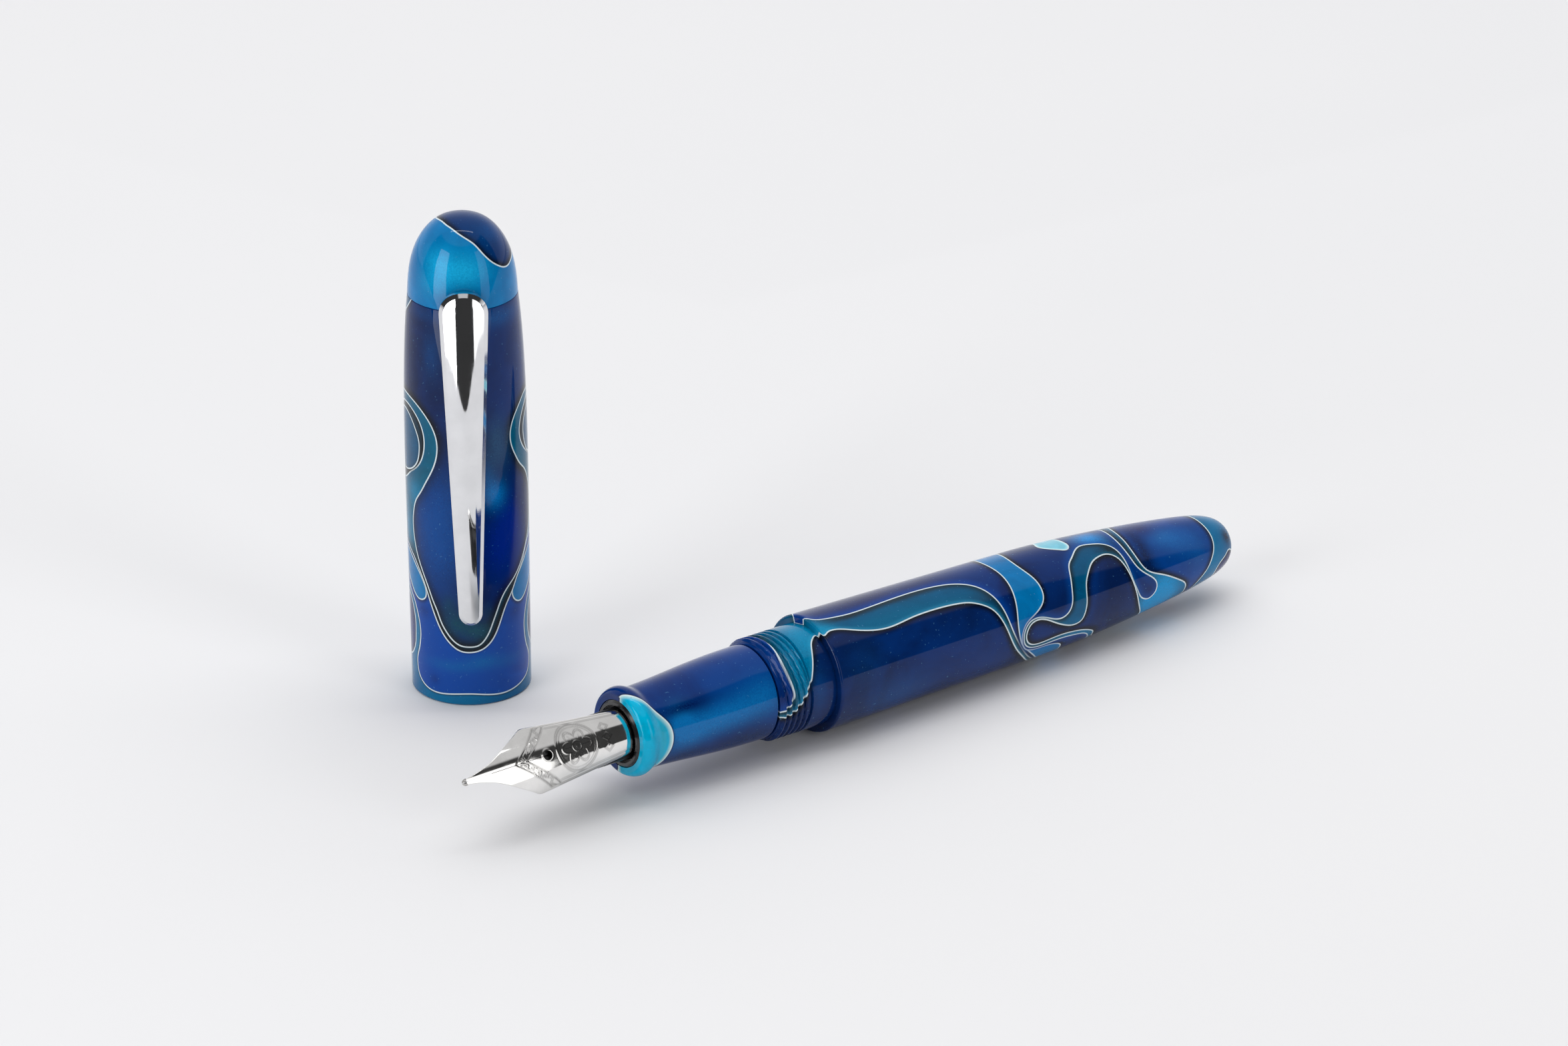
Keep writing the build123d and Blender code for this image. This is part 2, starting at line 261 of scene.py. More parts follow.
# ---- Nodes -----------------------------------------------------------------------------
class Nodes:
    """Short calls for building a node tree."""

    def __init__(self, tree):
        self.tree = tree

    def node(self, kind, inputs=(), **settings):
        n = self.tree.nodes.new(kind)
        for key, value in settings.items():
            setattr(n, key, value)
        for key, value in dict(inputs).items():
            self.put(n.inputs[key], value)
        return n

    def put(self, socket, value):
        if isinstance(value, bpy.types.NodeSocket):
            self.tree.links.new(value, socket)
        elif isinstance(value, tuple) and len(value) == 3 and socket.type == "RGBA":
            socket.default_value = (*value, 1)
        else:
            socket.default_value = value

    def math(self, operation, a, b=0.0):
        return self.node("ShaderNodeMath", {0: a, 1: b}, operation=operation).outputs[0]

    def ramp(self, value, low, high, to_low=0.0, to_high=1.0, smooth=True):
        n = self.node(
            "ShaderNodeMapRange", {0: value, 1: low, 2: high, 3: to_low, 4: to_high},
            interpolation_type="SMOOTHSTEP" if smooth else "LINEAR")
        return n.outputs[0]

    def mix(self, factor, a, b, blend="MIX"):
        n = self.node("ShaderNodeMix", data_type="RGBA", blend_type=blend)
        self.put(n.inputs[0], factor)
        self.put(n.inputs[6], a)
        self.put(n.inputs[7], b)
        return n.outputs[2]

    def noise(self, vector, scale, detail=3.0, roughness=0.5, distortion=0.0):
        n = self.node("ShaderNodeTexNoise", {
            "Vector": vector, "Scale": scale, "Detail": detail,
            "Roughness": roughness, "Distortion": distortion})
        return n.outputs[0]


def new_material(name):
    material = bpy.data.materials.new(name)
    material.use_nodes = True
    material.node_tree.nodes.clear()
    nodes = Nodes(material.node_tree)
    shader = nodes.node("ShaderNodeBsdfPrincipled")
    nodes.node("ShaderNodeOutputMaterial", {0: shader.outputs[0]})
    return material, nodes, shader


WHITE_LINE = (0.72, 0.82, 0.86)
BLACK = (0.003, 0.004, 0.007)
NAVY = (0.001, 0.013, 0.077)
ROYAL = (0.000, 0.057, 0.335)
VIOLET = (0.013, 0.011, 0.090)
TEAL = (0.000, 0.080, 0.190)
AZURE = (0.000, 0.165, 0.425)
CYAN = (0.045, 0.400, 0.620)
TURQUOISE = (0.000, 0.420, 0.660)


def grey(nodes, value):
    return nodes.node("ShaderNodeCombineColor", {0: value, 1: value, 2: value}).outputs[0]


def swirl_material(name, base, layers, tints):
    """Pearly acrylic. The base is (low, high) colours. Each layer is (label, fill, inner edge
    colour, its width in mm, outer edge colour, its strength, its width): later layers cover earlier
    ones, with a white line between."""
    material, n, shader = new_material(name)
    place = n.node("ShaderNodeTexCoord").outputs["Object"]
    cloud = n.ramp(n.noise(place, 90.0, 4.0, 0.55, 0.6), 0.36, 0.66)
    pearl = n.ramp(n.noise(place, 200.0, 5.0, 0.6, 1.4), 0.25, 0.75, 0.78, 1.2, smooth=False)
    grain = n.noise(place, 5200.0, 2.0, 0.6)
    glitter = n.ramp(grain, 0.30, 0.70, 0.72, 1.25, smooth=False)

    def tinted(tone, label):
        for number, (colour, spots) in enumerate(tints.get(label, ())):
            amount = n.node("ShaderNodeAttribute", attribute_name=f"tint_{label}_{number}").outputs["Fac"]
            tone = n.mix(n.math("MULTIPLY", amount, glitter), tone, colour)
        return tone

    colour = tinted(n.mix(cloud, *base), "base")
    for label, fill, inner, inner_width, outer, strength, outer_width in layers:
        d = n.node("ShaderNodeAttribute", attribute_name="swirl_" + label).outputs["Fac"]
        colour = n.mix(n.ramp(d, -outer_width, 0.0, 0.0, strength), colour, outer)
        tone = n.mix(1.0, fill, grey(n, pearl), "MULTIPLY")
        if fill in (NAVY, ROYAL, VIOLET):
            tone = n.mix(cloud, tone, tuple(0.72 * a + 0.28 * b for a, b in zip(fill, ROYAL)))
        tone = tinted(n.mix(n.ramp(d, 0.05, inner_width), inner, tone), label)
        colour = n.mix(n.ramp(d, -0.03, 0.03), colour, tone)
        line = n.ramp(n.math("ABSOLUTE", d), 0.04, 0.13, 1.0, 0.0)
        colour = n.mix(n.math("MULTIPLY", line, 0.94), colour, WHITE_LINE)
    flake = n.noise(place, 3600.0, 0.0, 0.5)
    sparkle = n.mix(n.ramp(flake, 0.76, 0.88, 0.0, 0.30), colour, (0.10, 0.30, 0.52))
    n.put(shader.inputs["Base Color"], sparkle)
    n.put(shader.inputs["Roughness"], n.ramp(grain, 0.3, 0.7, 0.34, 0.46))
    shader.inputs["Metallic"].default_value = 0.10
    shader.inputs["Specular IOR Level"].default_value = 0.0
    shader.inputs["Coat Weight"].default_value = 1.0
    shader.inputs["Coat Roughness"].default_value = 0.015
    shader.inputs["Coat IOR"].default_value = 1.30
    return material


def finish_material(name, low, high, scale, rough, bump=0.0, bump_scale=4000.0, **sockets):
    """A material with drifting colour, uneven roughness and a fine surface."""
    material, n, shader = new_material(name)
    place = n.node("ShaderNodeTexCoord").outputs["Object"]
    drift = n.noise(place, scale, 4.0, 0.6)
    fine = n.noise(place, bump_scale, 3.0, 0.6)
    n.put(shader.inputs["Base Color"], n.mix(n.ramp(drift, 0.3, 0.7), low, high))
    wear = n.noise(place, scale * 3, 5.0, 0.65)
    n.put(shader.inputs["Roughness"], n.ramp(wear, 0.3, 0.7, *rough))
    if bump:
        lump = n.node("ShaderNodeBump", {"Height": fine, "Strength": bump, "Distance": 0.00002})
        n.put(shader.inputs["Normal"], lump.outputs[0])
    for key, value in sockets.items():
        shader.inputs[key.replace("_", " ")].default_value = value
    return material


def steel_material():
    """Polished steel, darker and duller on the flanks of the engraved lines."""
    material, n, shader = new_material("polished_steel")
    place = n.node("ShaderNodeTexCoord").outputs["Object"]
    drift = n.mix(n.ramp(n.noise(place, 300.0, 4.0, 0.6), 0.3, 0.7), (0.80, 0.79, 0.77), (0.90, 0.89, 0.87))
    line = n.node("ShaderNodeAttribute", attribute_name="engraved").outputs["Fac"]
    n.put(shader.inputs["Base Color"], n.mix(line, drift, (0.11, 0.105, 0.10)))
    wear = n.ramp(n.noise(place, 900.0, 5.0, 0.65), 0.3, 0.7, 0.05, 0.11)
    n.put(shader.inputs["Roughness"], n.math("ADD", wear, n.math("MULTIPLY", line, 0.12)))
    shader.inputs["Metallic"].default_value = 1.0
    return material


# ---- Swirl curves ----------------------------------------------------------------------
BARREL_SWIRLS = [
    ("ribbon", [
        (33.2, 144), (29.2, 108.7), (27.3, 82), (26.1, 49), (24.3, 26.9), (21.8, 15.4), (18.2, 9.9),
        (13.2, 9.7), (7.7, 12.5), (4.9, 12.7), (2.9, 11), (0.3, 3), (-0.05, -5), (-0.15, -12), (0, -19),
        (0.6, -26), (1.6, -42), (0.5, -62), (-4.2, -82), (-5.4, -90), (-6.3, -78), (-6.7, -45), (-6.6, 15),
        (-6.75, 42), (-6.5, 68), (-6.6, 84), (-8.4, 96), (-11, 130), (-11, 200), (-9, 266), (0, 268),
        (8, 262), (15, 252), (23, 240), (31, 222), (36, 200), (37, 178), (35.4, 160)], 0),
    ("field", [
        (32.3, 144.5), (29.9, 122.4), (28.2, 106.5), (27.1, 92), (25.7, 65.6), (24.8, 54.5),
        (23.5, 46.8), (22.1, 41.7), (20.4, 39), (16, 37.3), (13.2, 38.2), (9.1, 41), (7.4, 39.7),
        (5.7, 36.4), (4.1, 31.8), (2.7, 27.6), (1.6, 26), (0.7, 27.3), (0.15, 29), (-0.1, 20.5),
        (-0.9, 23.6), (-1.8, 33.5), (-2.6, 49), (-3.4, 64), (-4.1, 76), (-5.4, 90), (-6.6, 98.5),
        (-8.5, 103), (-10.4, 130), (-10.4, 200), (-8.4, 240), (0, 244), (8, 240), (16, 230),
        (24, 216), (30, 200), (34, 180), (34.2, 164)], 0),
    ("band", [
        (28.4, -4), (28.8, 22), (28.85, 42), (28.5, 62), (28.25, 78), (28.4, 90), (28.9, 101),
        (30.3, 114), (32.2, 130), (34, 147), (37, 168), (41, 185), (47, 192), (53, 182), (55, 160),
        (54, 130), (53, 100), (51.3, 76), (49.4, 58), (48.7, 38), (48.7, 0), (49.2, -25), (50, -60),
        (48, -95), (43, -115), (37, -112), (32.4, -85), (29.8, -45)], 0),
    ("deep", [
        (31.8, 0), (31.8, 13.6), (32.2, 26), (32.8, 38), (33.1, 51), (32.8, 62), (31.8, 70), (30.6, 75.2),
        (29.5, 80.5), (28.95, 88), (28.85, 96), (29.2, 104.5), (29.9, 111.5), (31.3, 116), (33.6, 117),
        (35.3, 120), (36.3, 126), (36.8, 142), (39, 160), (43, 174), (49, 176), (53.4, 160), (53.6, 130),
        (52.7, 100), (51.2, 77), (49.3, 59), (48.75, 38), (48.75, 0), (49, -25), (49.4, -60),
        (47, -88), (42, -98), (37.5, -92), (34, -65), (32.6, -30)], 0),
    ("drop", [
        (37.4, -4), (38.1, 4), (39.2, 10), (40.3, 13.5), (41, 9), (41.2, -2), (41.25, -15), (41.5, -34),
        (41.3, -55), (40.2, -66), (39, -57), (38.5, -36), (37.8, -15)], 0),
    ("arch", [
        (48.1, 9), (48.2, 31), (48.5, 47), (49, 59), (50, 69), (51.1, 77), (51.8, 85), (51.9, 94),
        (51.4, 102), (50.6, 105), (49.8, 102.5), (49.1, 97.5), (48.5, 88), (47.9, 75), (47.6, 60), (47.4, 45),
        (47, 31), (46.4, 23), (45.3, 17), (43.9, 14), (42.6, 13), (41.4, 17), (40, 26), (38.9, 33.5),
        (38.1, 48), (37.6, 62), (37.2, 75), (36.5, 83), (35.4, 86.6), (34.3, 85.5), (32.9, 81),
        (31.4, 77.9), (30.1, 80), (29.35, 86.5), (29.15, 95), (29.45, 103), (30.4, 110), (32.7, 113.5),
        (35.6, 113), (38.3, 116), (40.3, 122), (41.1, 129), (41.8, 142), (44.5, 160), (50, 166),
        (57, 150), (60, 100), (58, 60), (54, 30), (52.6, -5), (52.5, -50), (50.8, -82), (49.2, -60),
        (48.5, -24)], 0),
    ("tongue", [
        (42.1, 133), (41.7, 124), (40.8, 118), (39.4, 112.8), (37.8, 109.6), (35.6, 107.6), (32.7, 109),
        (30.8, 107.4), (29.9, 102), (29.55, 95), (29.75, 87.5), (30.4, 82), (31.4, 80.1), (32.7, 82.5),
        (34, 88.2), (36, 96.5), (37.8, 99.8), (38.7, 97.5), (39.2, 91), (39.6, 80), (39.8, 69), (40.2, 58),
        (41.1, 48), (42.5, 38), (43.9, 34), (45.1, 33.5), (46.1, 37.5), (46.8, 46), (47.2, 56),
        (47.55, 67), (48.1, 84), (49.2, 111), (50.2, 129), (50.4, 146), (47, 155), (43.6, 149)], 0),
    ("royal", [
        (49.2, 20), (49.25, 38), (49.6, 53), (50.4, 66), (51.7, 73.5), (53.3, 80), (55, 89), (56.4, 98),
        (57.4, 107), (57.8, 117), (57.9, 129), (57.3, 148), (55.8, 172), (54.4, 200), (53.4, 235),
        (52.4, 270), (51.2, 305), (50.2, 335), (49.4, 358)], 360),
    ("tail", [
        (62.6, -20), (62.8, 20), (63.05, 50), (62.8, 69), (62.1, 87), (61.3, 102), (60.4, 115),
        (59.8, 128), (59.4, 150), (60, 180), (61.2, 215), (62.2, 260), (62.6, 305)], 360),
    ("tail_spot", [
        (65.8, 84), (65.1, 91.5), (64.4, 97), (63.8, 104), (63.5, 113), (63.4, 130), (63.9, 150),
        (65.2, 166), (66.6, 160), (67.2, 130), (67.1, 98)], 0),
]

GRIP_SWIRLS = [
    ("blob", [
        (-28.8, -4), (-27.6, 12), (-27, 21), (-26.4, 28.5), (-25.4, 47), (-24.8, 57), (-24.2, 68),
        (-23.9, 84), (-24, 98), (-24.5, 117), (-25.3, 140), (-26.6, 162), (-28.8, 184), (-31, 150),
        (-31, 90), (-31, 30)], 0),
]

CAP_SWIRLS = [
    ("lip", [
        (1.6, 0), (1.45, -20), (1.3, -34), (1.45, -45), (1.95, -54), (2.8, -60.5), (3.9, -63.2), (5, -63),
        (6.3, -59.5), (7.5, -57), (8.8, -56), (10.2, -57.6), (11.5, -61), (12.7, -66), (14, -78),
        (16, -100), (15, -130), (12.5, -160), (12.5, -195), (15, -225), (16, -260), (13.8, -280),
        (12.2, -291), (10.9, -295.5), (9.3, -298), (7.7, -297), (6.3, -294), (5.2, -289.5), (4.1, -287),
        (3.2, -288.2), (2.4, -292), (1.8, -300), (1.35, -313), (1.15, -328), (1.35, -345)], -360),
    ("side", [
        (8.1, -65.2), (6.8, -66.5), (5.6, -71), (4.6, -80), (4.2, -105), (4.4, -140), (4.2, -180),
        (4.4, -220), (4.4, -255), (4.8, -272), (5.9, -280.5), (7.2, -287), (8.7, -289.6), (10, -288.5),
        (11.4, -284), (12.6, -270), (13.4, -240), (11.6, -205), (11.4, -160), (13, -125), (13.6, -95),
        (12.7, -75), (11.3, -67.8), (9.6, -64.8)], 0),
    ("bead_left", [
        (13.3, -57), (13.45, -51), (13.9, -47), (14.7, -45.9), (15.7, -48.5), (16.8, -54), (17.9, -62),
        (18.8, -71), (19.3, -83), (18.8, -94), (17.6, -96), (16.4, -88), (15.2, -76), (14, -66.5)], 0),
    ("bead_right", [
        (12.8, 55), (13.15, 48.5), (13.8, 44.8), (14.7, 44), (15.7, 47), (16.6, 53), (17.7, 61),
        (18.9, 71), (19.6, 84), (19, 96), (17.6, 97), (16, 88), (14.6, 76), (13.4, 65)], 0),
    ("wave", [
        (7.3, -1.6), (7.5, -11), (8.1, -18), (9.1, -25), (10.4, -31), (12.2, -37), (14.1, -42.6),
        (15.4, -46.4), (16.5, -50.6), (17.6, -56), (18.6, -62.5), (19.3, -70), (20, -82), (20.2, -100),
        (18.6, -125), (17.2, -155), (17.4, -190), (18.6, -225), (20.4, -255), (21, -272), (20.6, -284),
        (19.4, -293), (17.7, -301), (16.2, -309.6), (14.8, -315.6), (13.3, -323), (11.6, -329),
        (10, -334), (8.5, -341), (7.6, -350)], -360),
    ("heart", [
        (8.04, -1.6), (8.2, -10), (8.8, -17), (9.75, -23), (11.1, -29), (12.5, -33), (13.8, -37.6),
        (15.2, -42), (16.6, -47), (17.9, -52), (19.5, -57.6), (21.1, -61.2), (22.5, -63), (23.8, -63),
        (25.2, -61), (26.6, -57), (27.9, -50), (29.3, -43.5), (30.9, -36.6), (32.7, -30.8), (34.1, -28.7),
        (35.3, -28.8), (36.6, -31.5), (38, -38), (39.1, -47), (39.9, -59), (40.2, -72), (40, -88),
        (38.6, -108), (36, -128), (34.2, -155), (34.6, -190), (36.4, -225), (38.6, -252), (39.9, -275),
        (39.8, -289), (39.1, -298), (38, -307), (36.7, -313), (35.2, -315), (33.9, -313),
        (32.5, -308), (31.1, -301), (30, -292.5), (28.8, -286), (27, -279.5), (24.8, -277),
        (22.8, -279.5), (21.2, -285.5), (19.9, -292), (18.6, -299), (17.3, -306.5), (16.2, -314.6),
        (15.2, -323), (14.1, -329), (12.6, -334), (11.3, -338), (10, -342), (8.9, -347), (8.2, -353)], -360),
    ("ring_left", [
        (30, -66), (30.9, -56.5), (32.2, -48), (33.6, -44), (35, -43), (36.4, -45), (37.5, -49.5),
        (38.4, -57), (38.9, -66), (38.9, -80), (38, -95), (36.2, -108), (33.8, -115), (31.2, -110),
        (29, -98), (28.6, -82)], 0),
    ("ring_right", [
        (32, -286), (33, -294), (34.1, -299), (35.3, -301), (36.6, -299), (37.7, -294), (38.6, -286),
        (39, -272), (38.2, -258), (36.4, -249), (34.2, -250), (32.2, -258), (31.2, -272)], 0),
    ("core_left", [
        (30.3, -68), (31, -59), (32.1, -52.5), (33.4, -50), (34.8, -50.2), (36.1, -54.6), (37.3, -62),
        (38, -72), (37.9, -84), (36.8, -97), (34.8, -106), (32.6, -104), (30.8, -94), (30, -81)], 0),
    ("core_right", [
        (31.7, -280), (32.6, -287), (33.9, -291.6), (35.2, -293), (36.5, -290.6), (37.4, -284),
        (37.9, -273), (37, -262), (35.2, -256), (33.2, -260), (31.8, -270)], 0),
    ("crown", [
        (50.2, -88), (50.9, -81), (51.7, -74), (53.2, -66), (54.5, -90), (53.6, -122), (51.4, -128),
        (50, -110)], 0),
]

FINIAL_SWIRLS = [
    ("pole", [
        (57, 69), (56.85, 62), (56.95, 54), (57.4, 45.5), (58.2, 36), (59.3, 27), (60.2, 19.5),
        (60.8, 9.5), (61.3, -4), (61.7, -20), (61.9, -38), (62, -58), (61.9, -90), (61.5, -120),
        (60.9, -150), (60.1, -180), (59.3, -210), (58.5, -238), (57.8, -262), (57.3, -280)], -360),
]

# Soft tints: for each layer, groups of one colour with its spots (place, angle, length and width in
# mm, strength).
BARREL_TINTS = {
    "ribbon": [
        ((0.000, 0.245, 0.455), [
            (-1.8, 14, 2.0, 5.0, 1.0), (0.6, 24, 1.8, 1.3, 0.9), (-4.8, 50, 1.6, 5.5, 0.7)]),
        ((0.000, 0.112, 0.232), [
            (6, 33, 4, 0.9, 0.8), (12, 35, 5, 1.0, 0.8), (19, 35.5, 4, 0.8, 0.7), (12, 25, 7, 1.1, 0.4)]),
        ((0.011, 0.020, 0.026), [(5, 16, 3.5, 0.5, 0.7), (13, 13, 7, 0.5, 0.6), (24.5, 42, 1.8, 1.5, 0.4)])],
    "field": [
        ((0.004, 0.064, 0.220), [(9, 112, 5, 2.6, 0.45), (-2.6, 80, 1.2, 3, 0.45), (4, 70, 3, 3, 0.2)])],
    "base": [
        ((0.003, 0.026, 0.145), [(21, 3, 4, 1.6, 0.6), (25.5, 25, 1.5, 2, 0.5)]),
        ((0.008, 0.009, 0.066), [(9, -8, 9, 3, 0.7), (46, -15, 4, 3, 0.4)])],
    "deep": [
        ((0.000, 0.260, 0.680), [(44.8, 3, 2.2, 2.0, 0.9), (43.4, 24, 2.4, 0.9, 0.55)])],
    "arch": [
        ((0.000, 0.280, 0.610), [
            (53.6, 112, 3.2, 4.2, 1.0), (50.5, 128, 3.5, 3.5, 0.9), (38, 130, 5, 3, 0.8)]),
        ((0.003, 0.015, 0.022), [(46.5, 27, 2.0, 1.5, 1.0), (36, 104, 3, 0.5, 0.8)])],
    "royal": [
        ((0.008, 0.122, 0.395), [(55, 30, 2.4, 1.5, 0.8), (57.4, 42, 2.4, 1.8, 0.5), (60, 64, 2.0, 3, 0.35)]),
        ((0.001, 0.011, 0.059), [(50.9, 66, 1.2, 3.5, 0.9), (51, 20, 1.0, 3, 0.5)]),
        ((0.013, 0.011, 0.079), [(53.2, 2, 2.2, 2.2, 0.7)])],
    "tail": [
        ((0.000, 0.180, 0.380), [(63, 100, 1.6, 3.5, 0.8), (65, 12, 1.8, 2.5, 0.7)]),
        ((0.001, 0.008, 0.033), [(65.9, 56, 0.9, 1.0, 1.0)])],
}
GRIP_TINTS = {
    "base": [
        ((0.003, 0.155, 0.440), [
            (-19, 82, 5, 1.8, 0.8), (-13, 76, 5, 2.2, 0.6), (-22, 98, 3, 2.2, 0.45), (-10, 66, 3, 2.4, 0.35),
            (-22.4, 66, 1.6, 2.0, 0.8)]),
        ((0.000, 0.008, 0.073), [(-21.6, 52, 4.0, 0.8, 0.9)]),
        ((0.001, 0.013, 0.059), [(-12, 122, 6, 2.2, 0.7), (-22, 128, 4, 1.6, 0.6)])],
    "blob": [
        ((0.000, 0.218, 0.396), [(-26.2, 45, 0.7, 1.6, 0.6), (-26.4, 95, 0.7, 2.4, 0.5)]),
        ((0.053, 0.370, 0.475), [(-25.2, 80, 0.5, 3.5, 0.5)])],
}
CAP_TINTS = {
    "lip": [
        ((0.000, 0.120, 0.380), [
            (5.3, -18, 0.8, 3.5, 0.5), (6.0, 12, 0.9, 2.2, 0.6), (5.4, 38, 0.9, 2.5, 0.3)]),
        ((0.001, 0.012, 0.092), [
            (3.0, -38, 0.7, 0.7, 0.4), (11.8, 48, 1.0, 1.2, 0.4), (12, -50, 0.9, 1.2, 0.4)])],
    "heart": [
        ((0.004, 0.063, 0.099), [
            (10.2, 7, 1.3, 1.8, 0.9), (11.2, -13, 1.5, 1.5, 0.8), (13.6, -21, 1.5, 1.0, 0.5),
            (12.8, 16, 1.0, 0.7, 0.3)]),
        ((0.000, 0.060, 0.275), [(20.5, -27, 5, 3.6, 0.8), (27, -22, 5, 2.8, 0.7), (24.5, -44, 3, 2, 0.4)]),
        ((0.000, 0.018, 0.240), [(21, 30, 4.5, 3.4, 0.9), (25, 42, 3.5, 1.8, 0.6)]),
        ((0.002, 0.165, 0.480), [(28.2, 26, 1.8, 1.5, 1.0), (30.8, 20, 2.2, 0.8, 0.4)]),
        ((0.016, 0.078, 0.185), [(33.4, 30, 2.6, 2.0, 0.6), (36.4, 29, 2.4, 1.6, 0.5)]),
        ((0.000, 0.066, 0.250), [
            (51.2, 34, 1.2, 4.0, 0.9), (46.5, -34, 3, 1.3, 0.45), (51.6, -44, 0.9, 3, 0.3)])],
    "wave": [
        ((0.000, 0.180, 0.345), [
            (27.6, -58, 1.6, 1.8, 1.0), (22.5, -76, 3, 2.5, 0.8), (22.5, 80, 3, 2.5, 0.8)])],
}
FINIAL_TINTS = {
    "base": [
        ((0.010, 0.430, 0.760), [
            (57.4, 0, 2.0, 3.2, 0.8), (55.6, -34, 1.6, 2.2, 0.4), (58.4, -34, 1.6, 2.0, 0.4)])],
    "pole": [((0.001, 0.062, 0.235), [(61.0, 60, 1.2, 2.6, 0.7)])],
}

# ---- Outlines --------------------------------------------------------------------------
FINE = 0.2
NECK_FRONT = -8.3
NECK_THREAD = -8.1, -3.75
GRIP_THREAD = -7.4, -0.9
CAP_THREAD = 4.0, 8.4
CAP_PITCH, CAP_STARTS = 0.85, 3
tail_curve = cubic(
    [(34, STEP_R - TAPER * 34), (42, 6.56), (50, 5.93), (57, 5.2), (62, 4.52), (65.3, 3.75), (67.2, 2.6),
     (TAIL_X, 0)], start=(1, -TAPER), end=(0, -1), step=FINE)[0]
edge = np.radians(np.linspace(0, 90, 7))
step_edge = np.stack([0.3 - 0.3 * np.cos(edge), STEP_R - 0.305 + 0.3 * np.sin(edge)], -1)
neck = join(
    line_of(
        (NECK_FRONT, 5.0), (NECK_FRONT, 5.95), (NECK_FRONT + 0.25, 6.18), (NECK_THREAD[0], 6.18), step=0.1),
    line_of((NECK_THREAD[0], 6.18), (NECK_THREAD[1], 6.18), step=0.085),
    line_of((NECK_THREAD[1], 6.18), (-3.6, 6.5), (0, 6.5), (0, STEP_R - 0.305), step=0.15))
barrel_outline = join(
    np.array([(60.2, 0.0), (59.9, 1.7), (59.4, 3.45)]),
    line_of((59.4, 3.45), (51.6, 3.45), (50.6, 4.3), (1.6, 4.3), (0.8, 5.0), (NECK_FRONT, 5.0), step=2.5),
    neck, step_edge, line_of((0.3, STEP_R - 0.3 * TAPER), (34, STEP_R - TAPER * 34), step=FINE), tail_curve)
barrel_outline[0, 1] = 0
barrel_rows = join(
    np.array([(-12.0, 6.18), (-3.8, 6.18)]), np.array([(-3.8, 6.18), (-3.6, 6.5), (-0.02, 6.5), (0.05, 7.2)]),
    line_of((0.05, 7.2), (0.3, 7.47), (34, STEP_R - TAPER * 34), step=0.5), tail_curve)

nose = cubic([(-28.15, 4.75), (-27.15, 5.6), (-25.3, 5.12)], start=(-0.5, 1), end=(1, 0.02), step=0.12)[0]
grip = cubic(
    [(-25.3, 5.12), (-19, 5.49), (-13, 5.87), (-8.65, 5.94)], start=(1, 0.02), end=(1, 0), step=FINE)[0]
grip_outline = join(
    nose, grip,
    line_of((-8.65, 5.94), (-8.35, 5.64), (-8.35, 4.5), (GRIP_THREAD[0], 4.5), step=0.3),
    line_of((GRIP_THREAD[0], 4.5), (GRIP_THREAD[1], 4.5), step=0.1),
    line_of((GRIP_THREAD[1], 4.5), (-0.6, 4.3), (-0.6, 4.05), (-17.0, 4.05), (-17.0, 3.75), (-27.3, 3.75),
            (-27.3, 4.25), (-28.15, 4.25), (-28.15, 4.75), step=1.2))[:-1]
grip_rows = join(np.array([(-32.0, 4.75), (-28.15, 4.75)]), nose, grip, np.array([(-8.65, 5.94), (0, 5.94)]))

LIP_R = 7.43
SEAM_Z = 52.5
wall = cubic(
    [(LIP_R, 0.2), (7.56, 27), (7.4, 42), (6.74, SEAM_Z - 0.08)],
    start=(0, 1), end=(-0.11, 1), step=FINE)[0][:, ::-1]
cap_outline = join(
    wall,
    line_of((SEAM_Z - 0.08, 6.74), (SEAM_Z, 6.66), (SEAM_Z, 6.3), (SEAM_Z - 0.5, 6.3), (SEAM_Z - 0.5, 4.7),
            (57.2, 4.7), (57.5, 4.4), (57.5, 4.0), (46.0, 4.0), (46.0, 6.3), (8.8, 6.3), step=1.5),
    line_of((8.8, 6.3), (CAP_THREAD[1], 6.62), (CAP_THREAD[0], 6.62), step=0.1),
    line_of((CAP_THREAD[0], 6.62), (0.35, 6.62), (0, 6.85), (0, LIP_R - 0.2), (0.2, LIP_R), step=0.2))[:-1]

dome = cubic(
    [(6.74, SEAM_Z + 0.08), (6.5, 55.4), (5.9, 57.9), (4.9, 59.9), (2.95, 61.8), (0, 62.47)],
    start=(-0.05, 1), end=(-1, 0), step=0.14)[0][:, ::-1]
finial_outline = join(
    line_of((57.9, 0), (57.9, 4.4), (57.3, 5.08), (SEAM_Z, 5.08), (SEAM_Z, 6.66), (SEAM_Z + 0.08, 6.74),
            step=0.8),
    dome)
finial_outline[0, 1] = 0
finial_outline[-1, 1] = 0


def skin_of(rows):
    """Outer radius as a function of the place along the axis."""
    order = np.argsort(rows[:, 0], kind="stable")
    return lambda s: np.interp(s, rows[order, 0], rows[order, 1])


def thread_relief(ends, radii, root, depth, pitch, starts, past=0.0):
    """A relief for lathe: a thread on the rows between two places and two radii. Its run-out can
    reach past the last row."""
    first, last = ends

    def relief(s, angle, radius):
        inside = (s > first) & (s < last) & (radius > radii[0]) & (radius < radii[1])
        return np.where(inside, thread(s, angle, first, last + past, root, depth, pitch, starts), radius)

    return relief


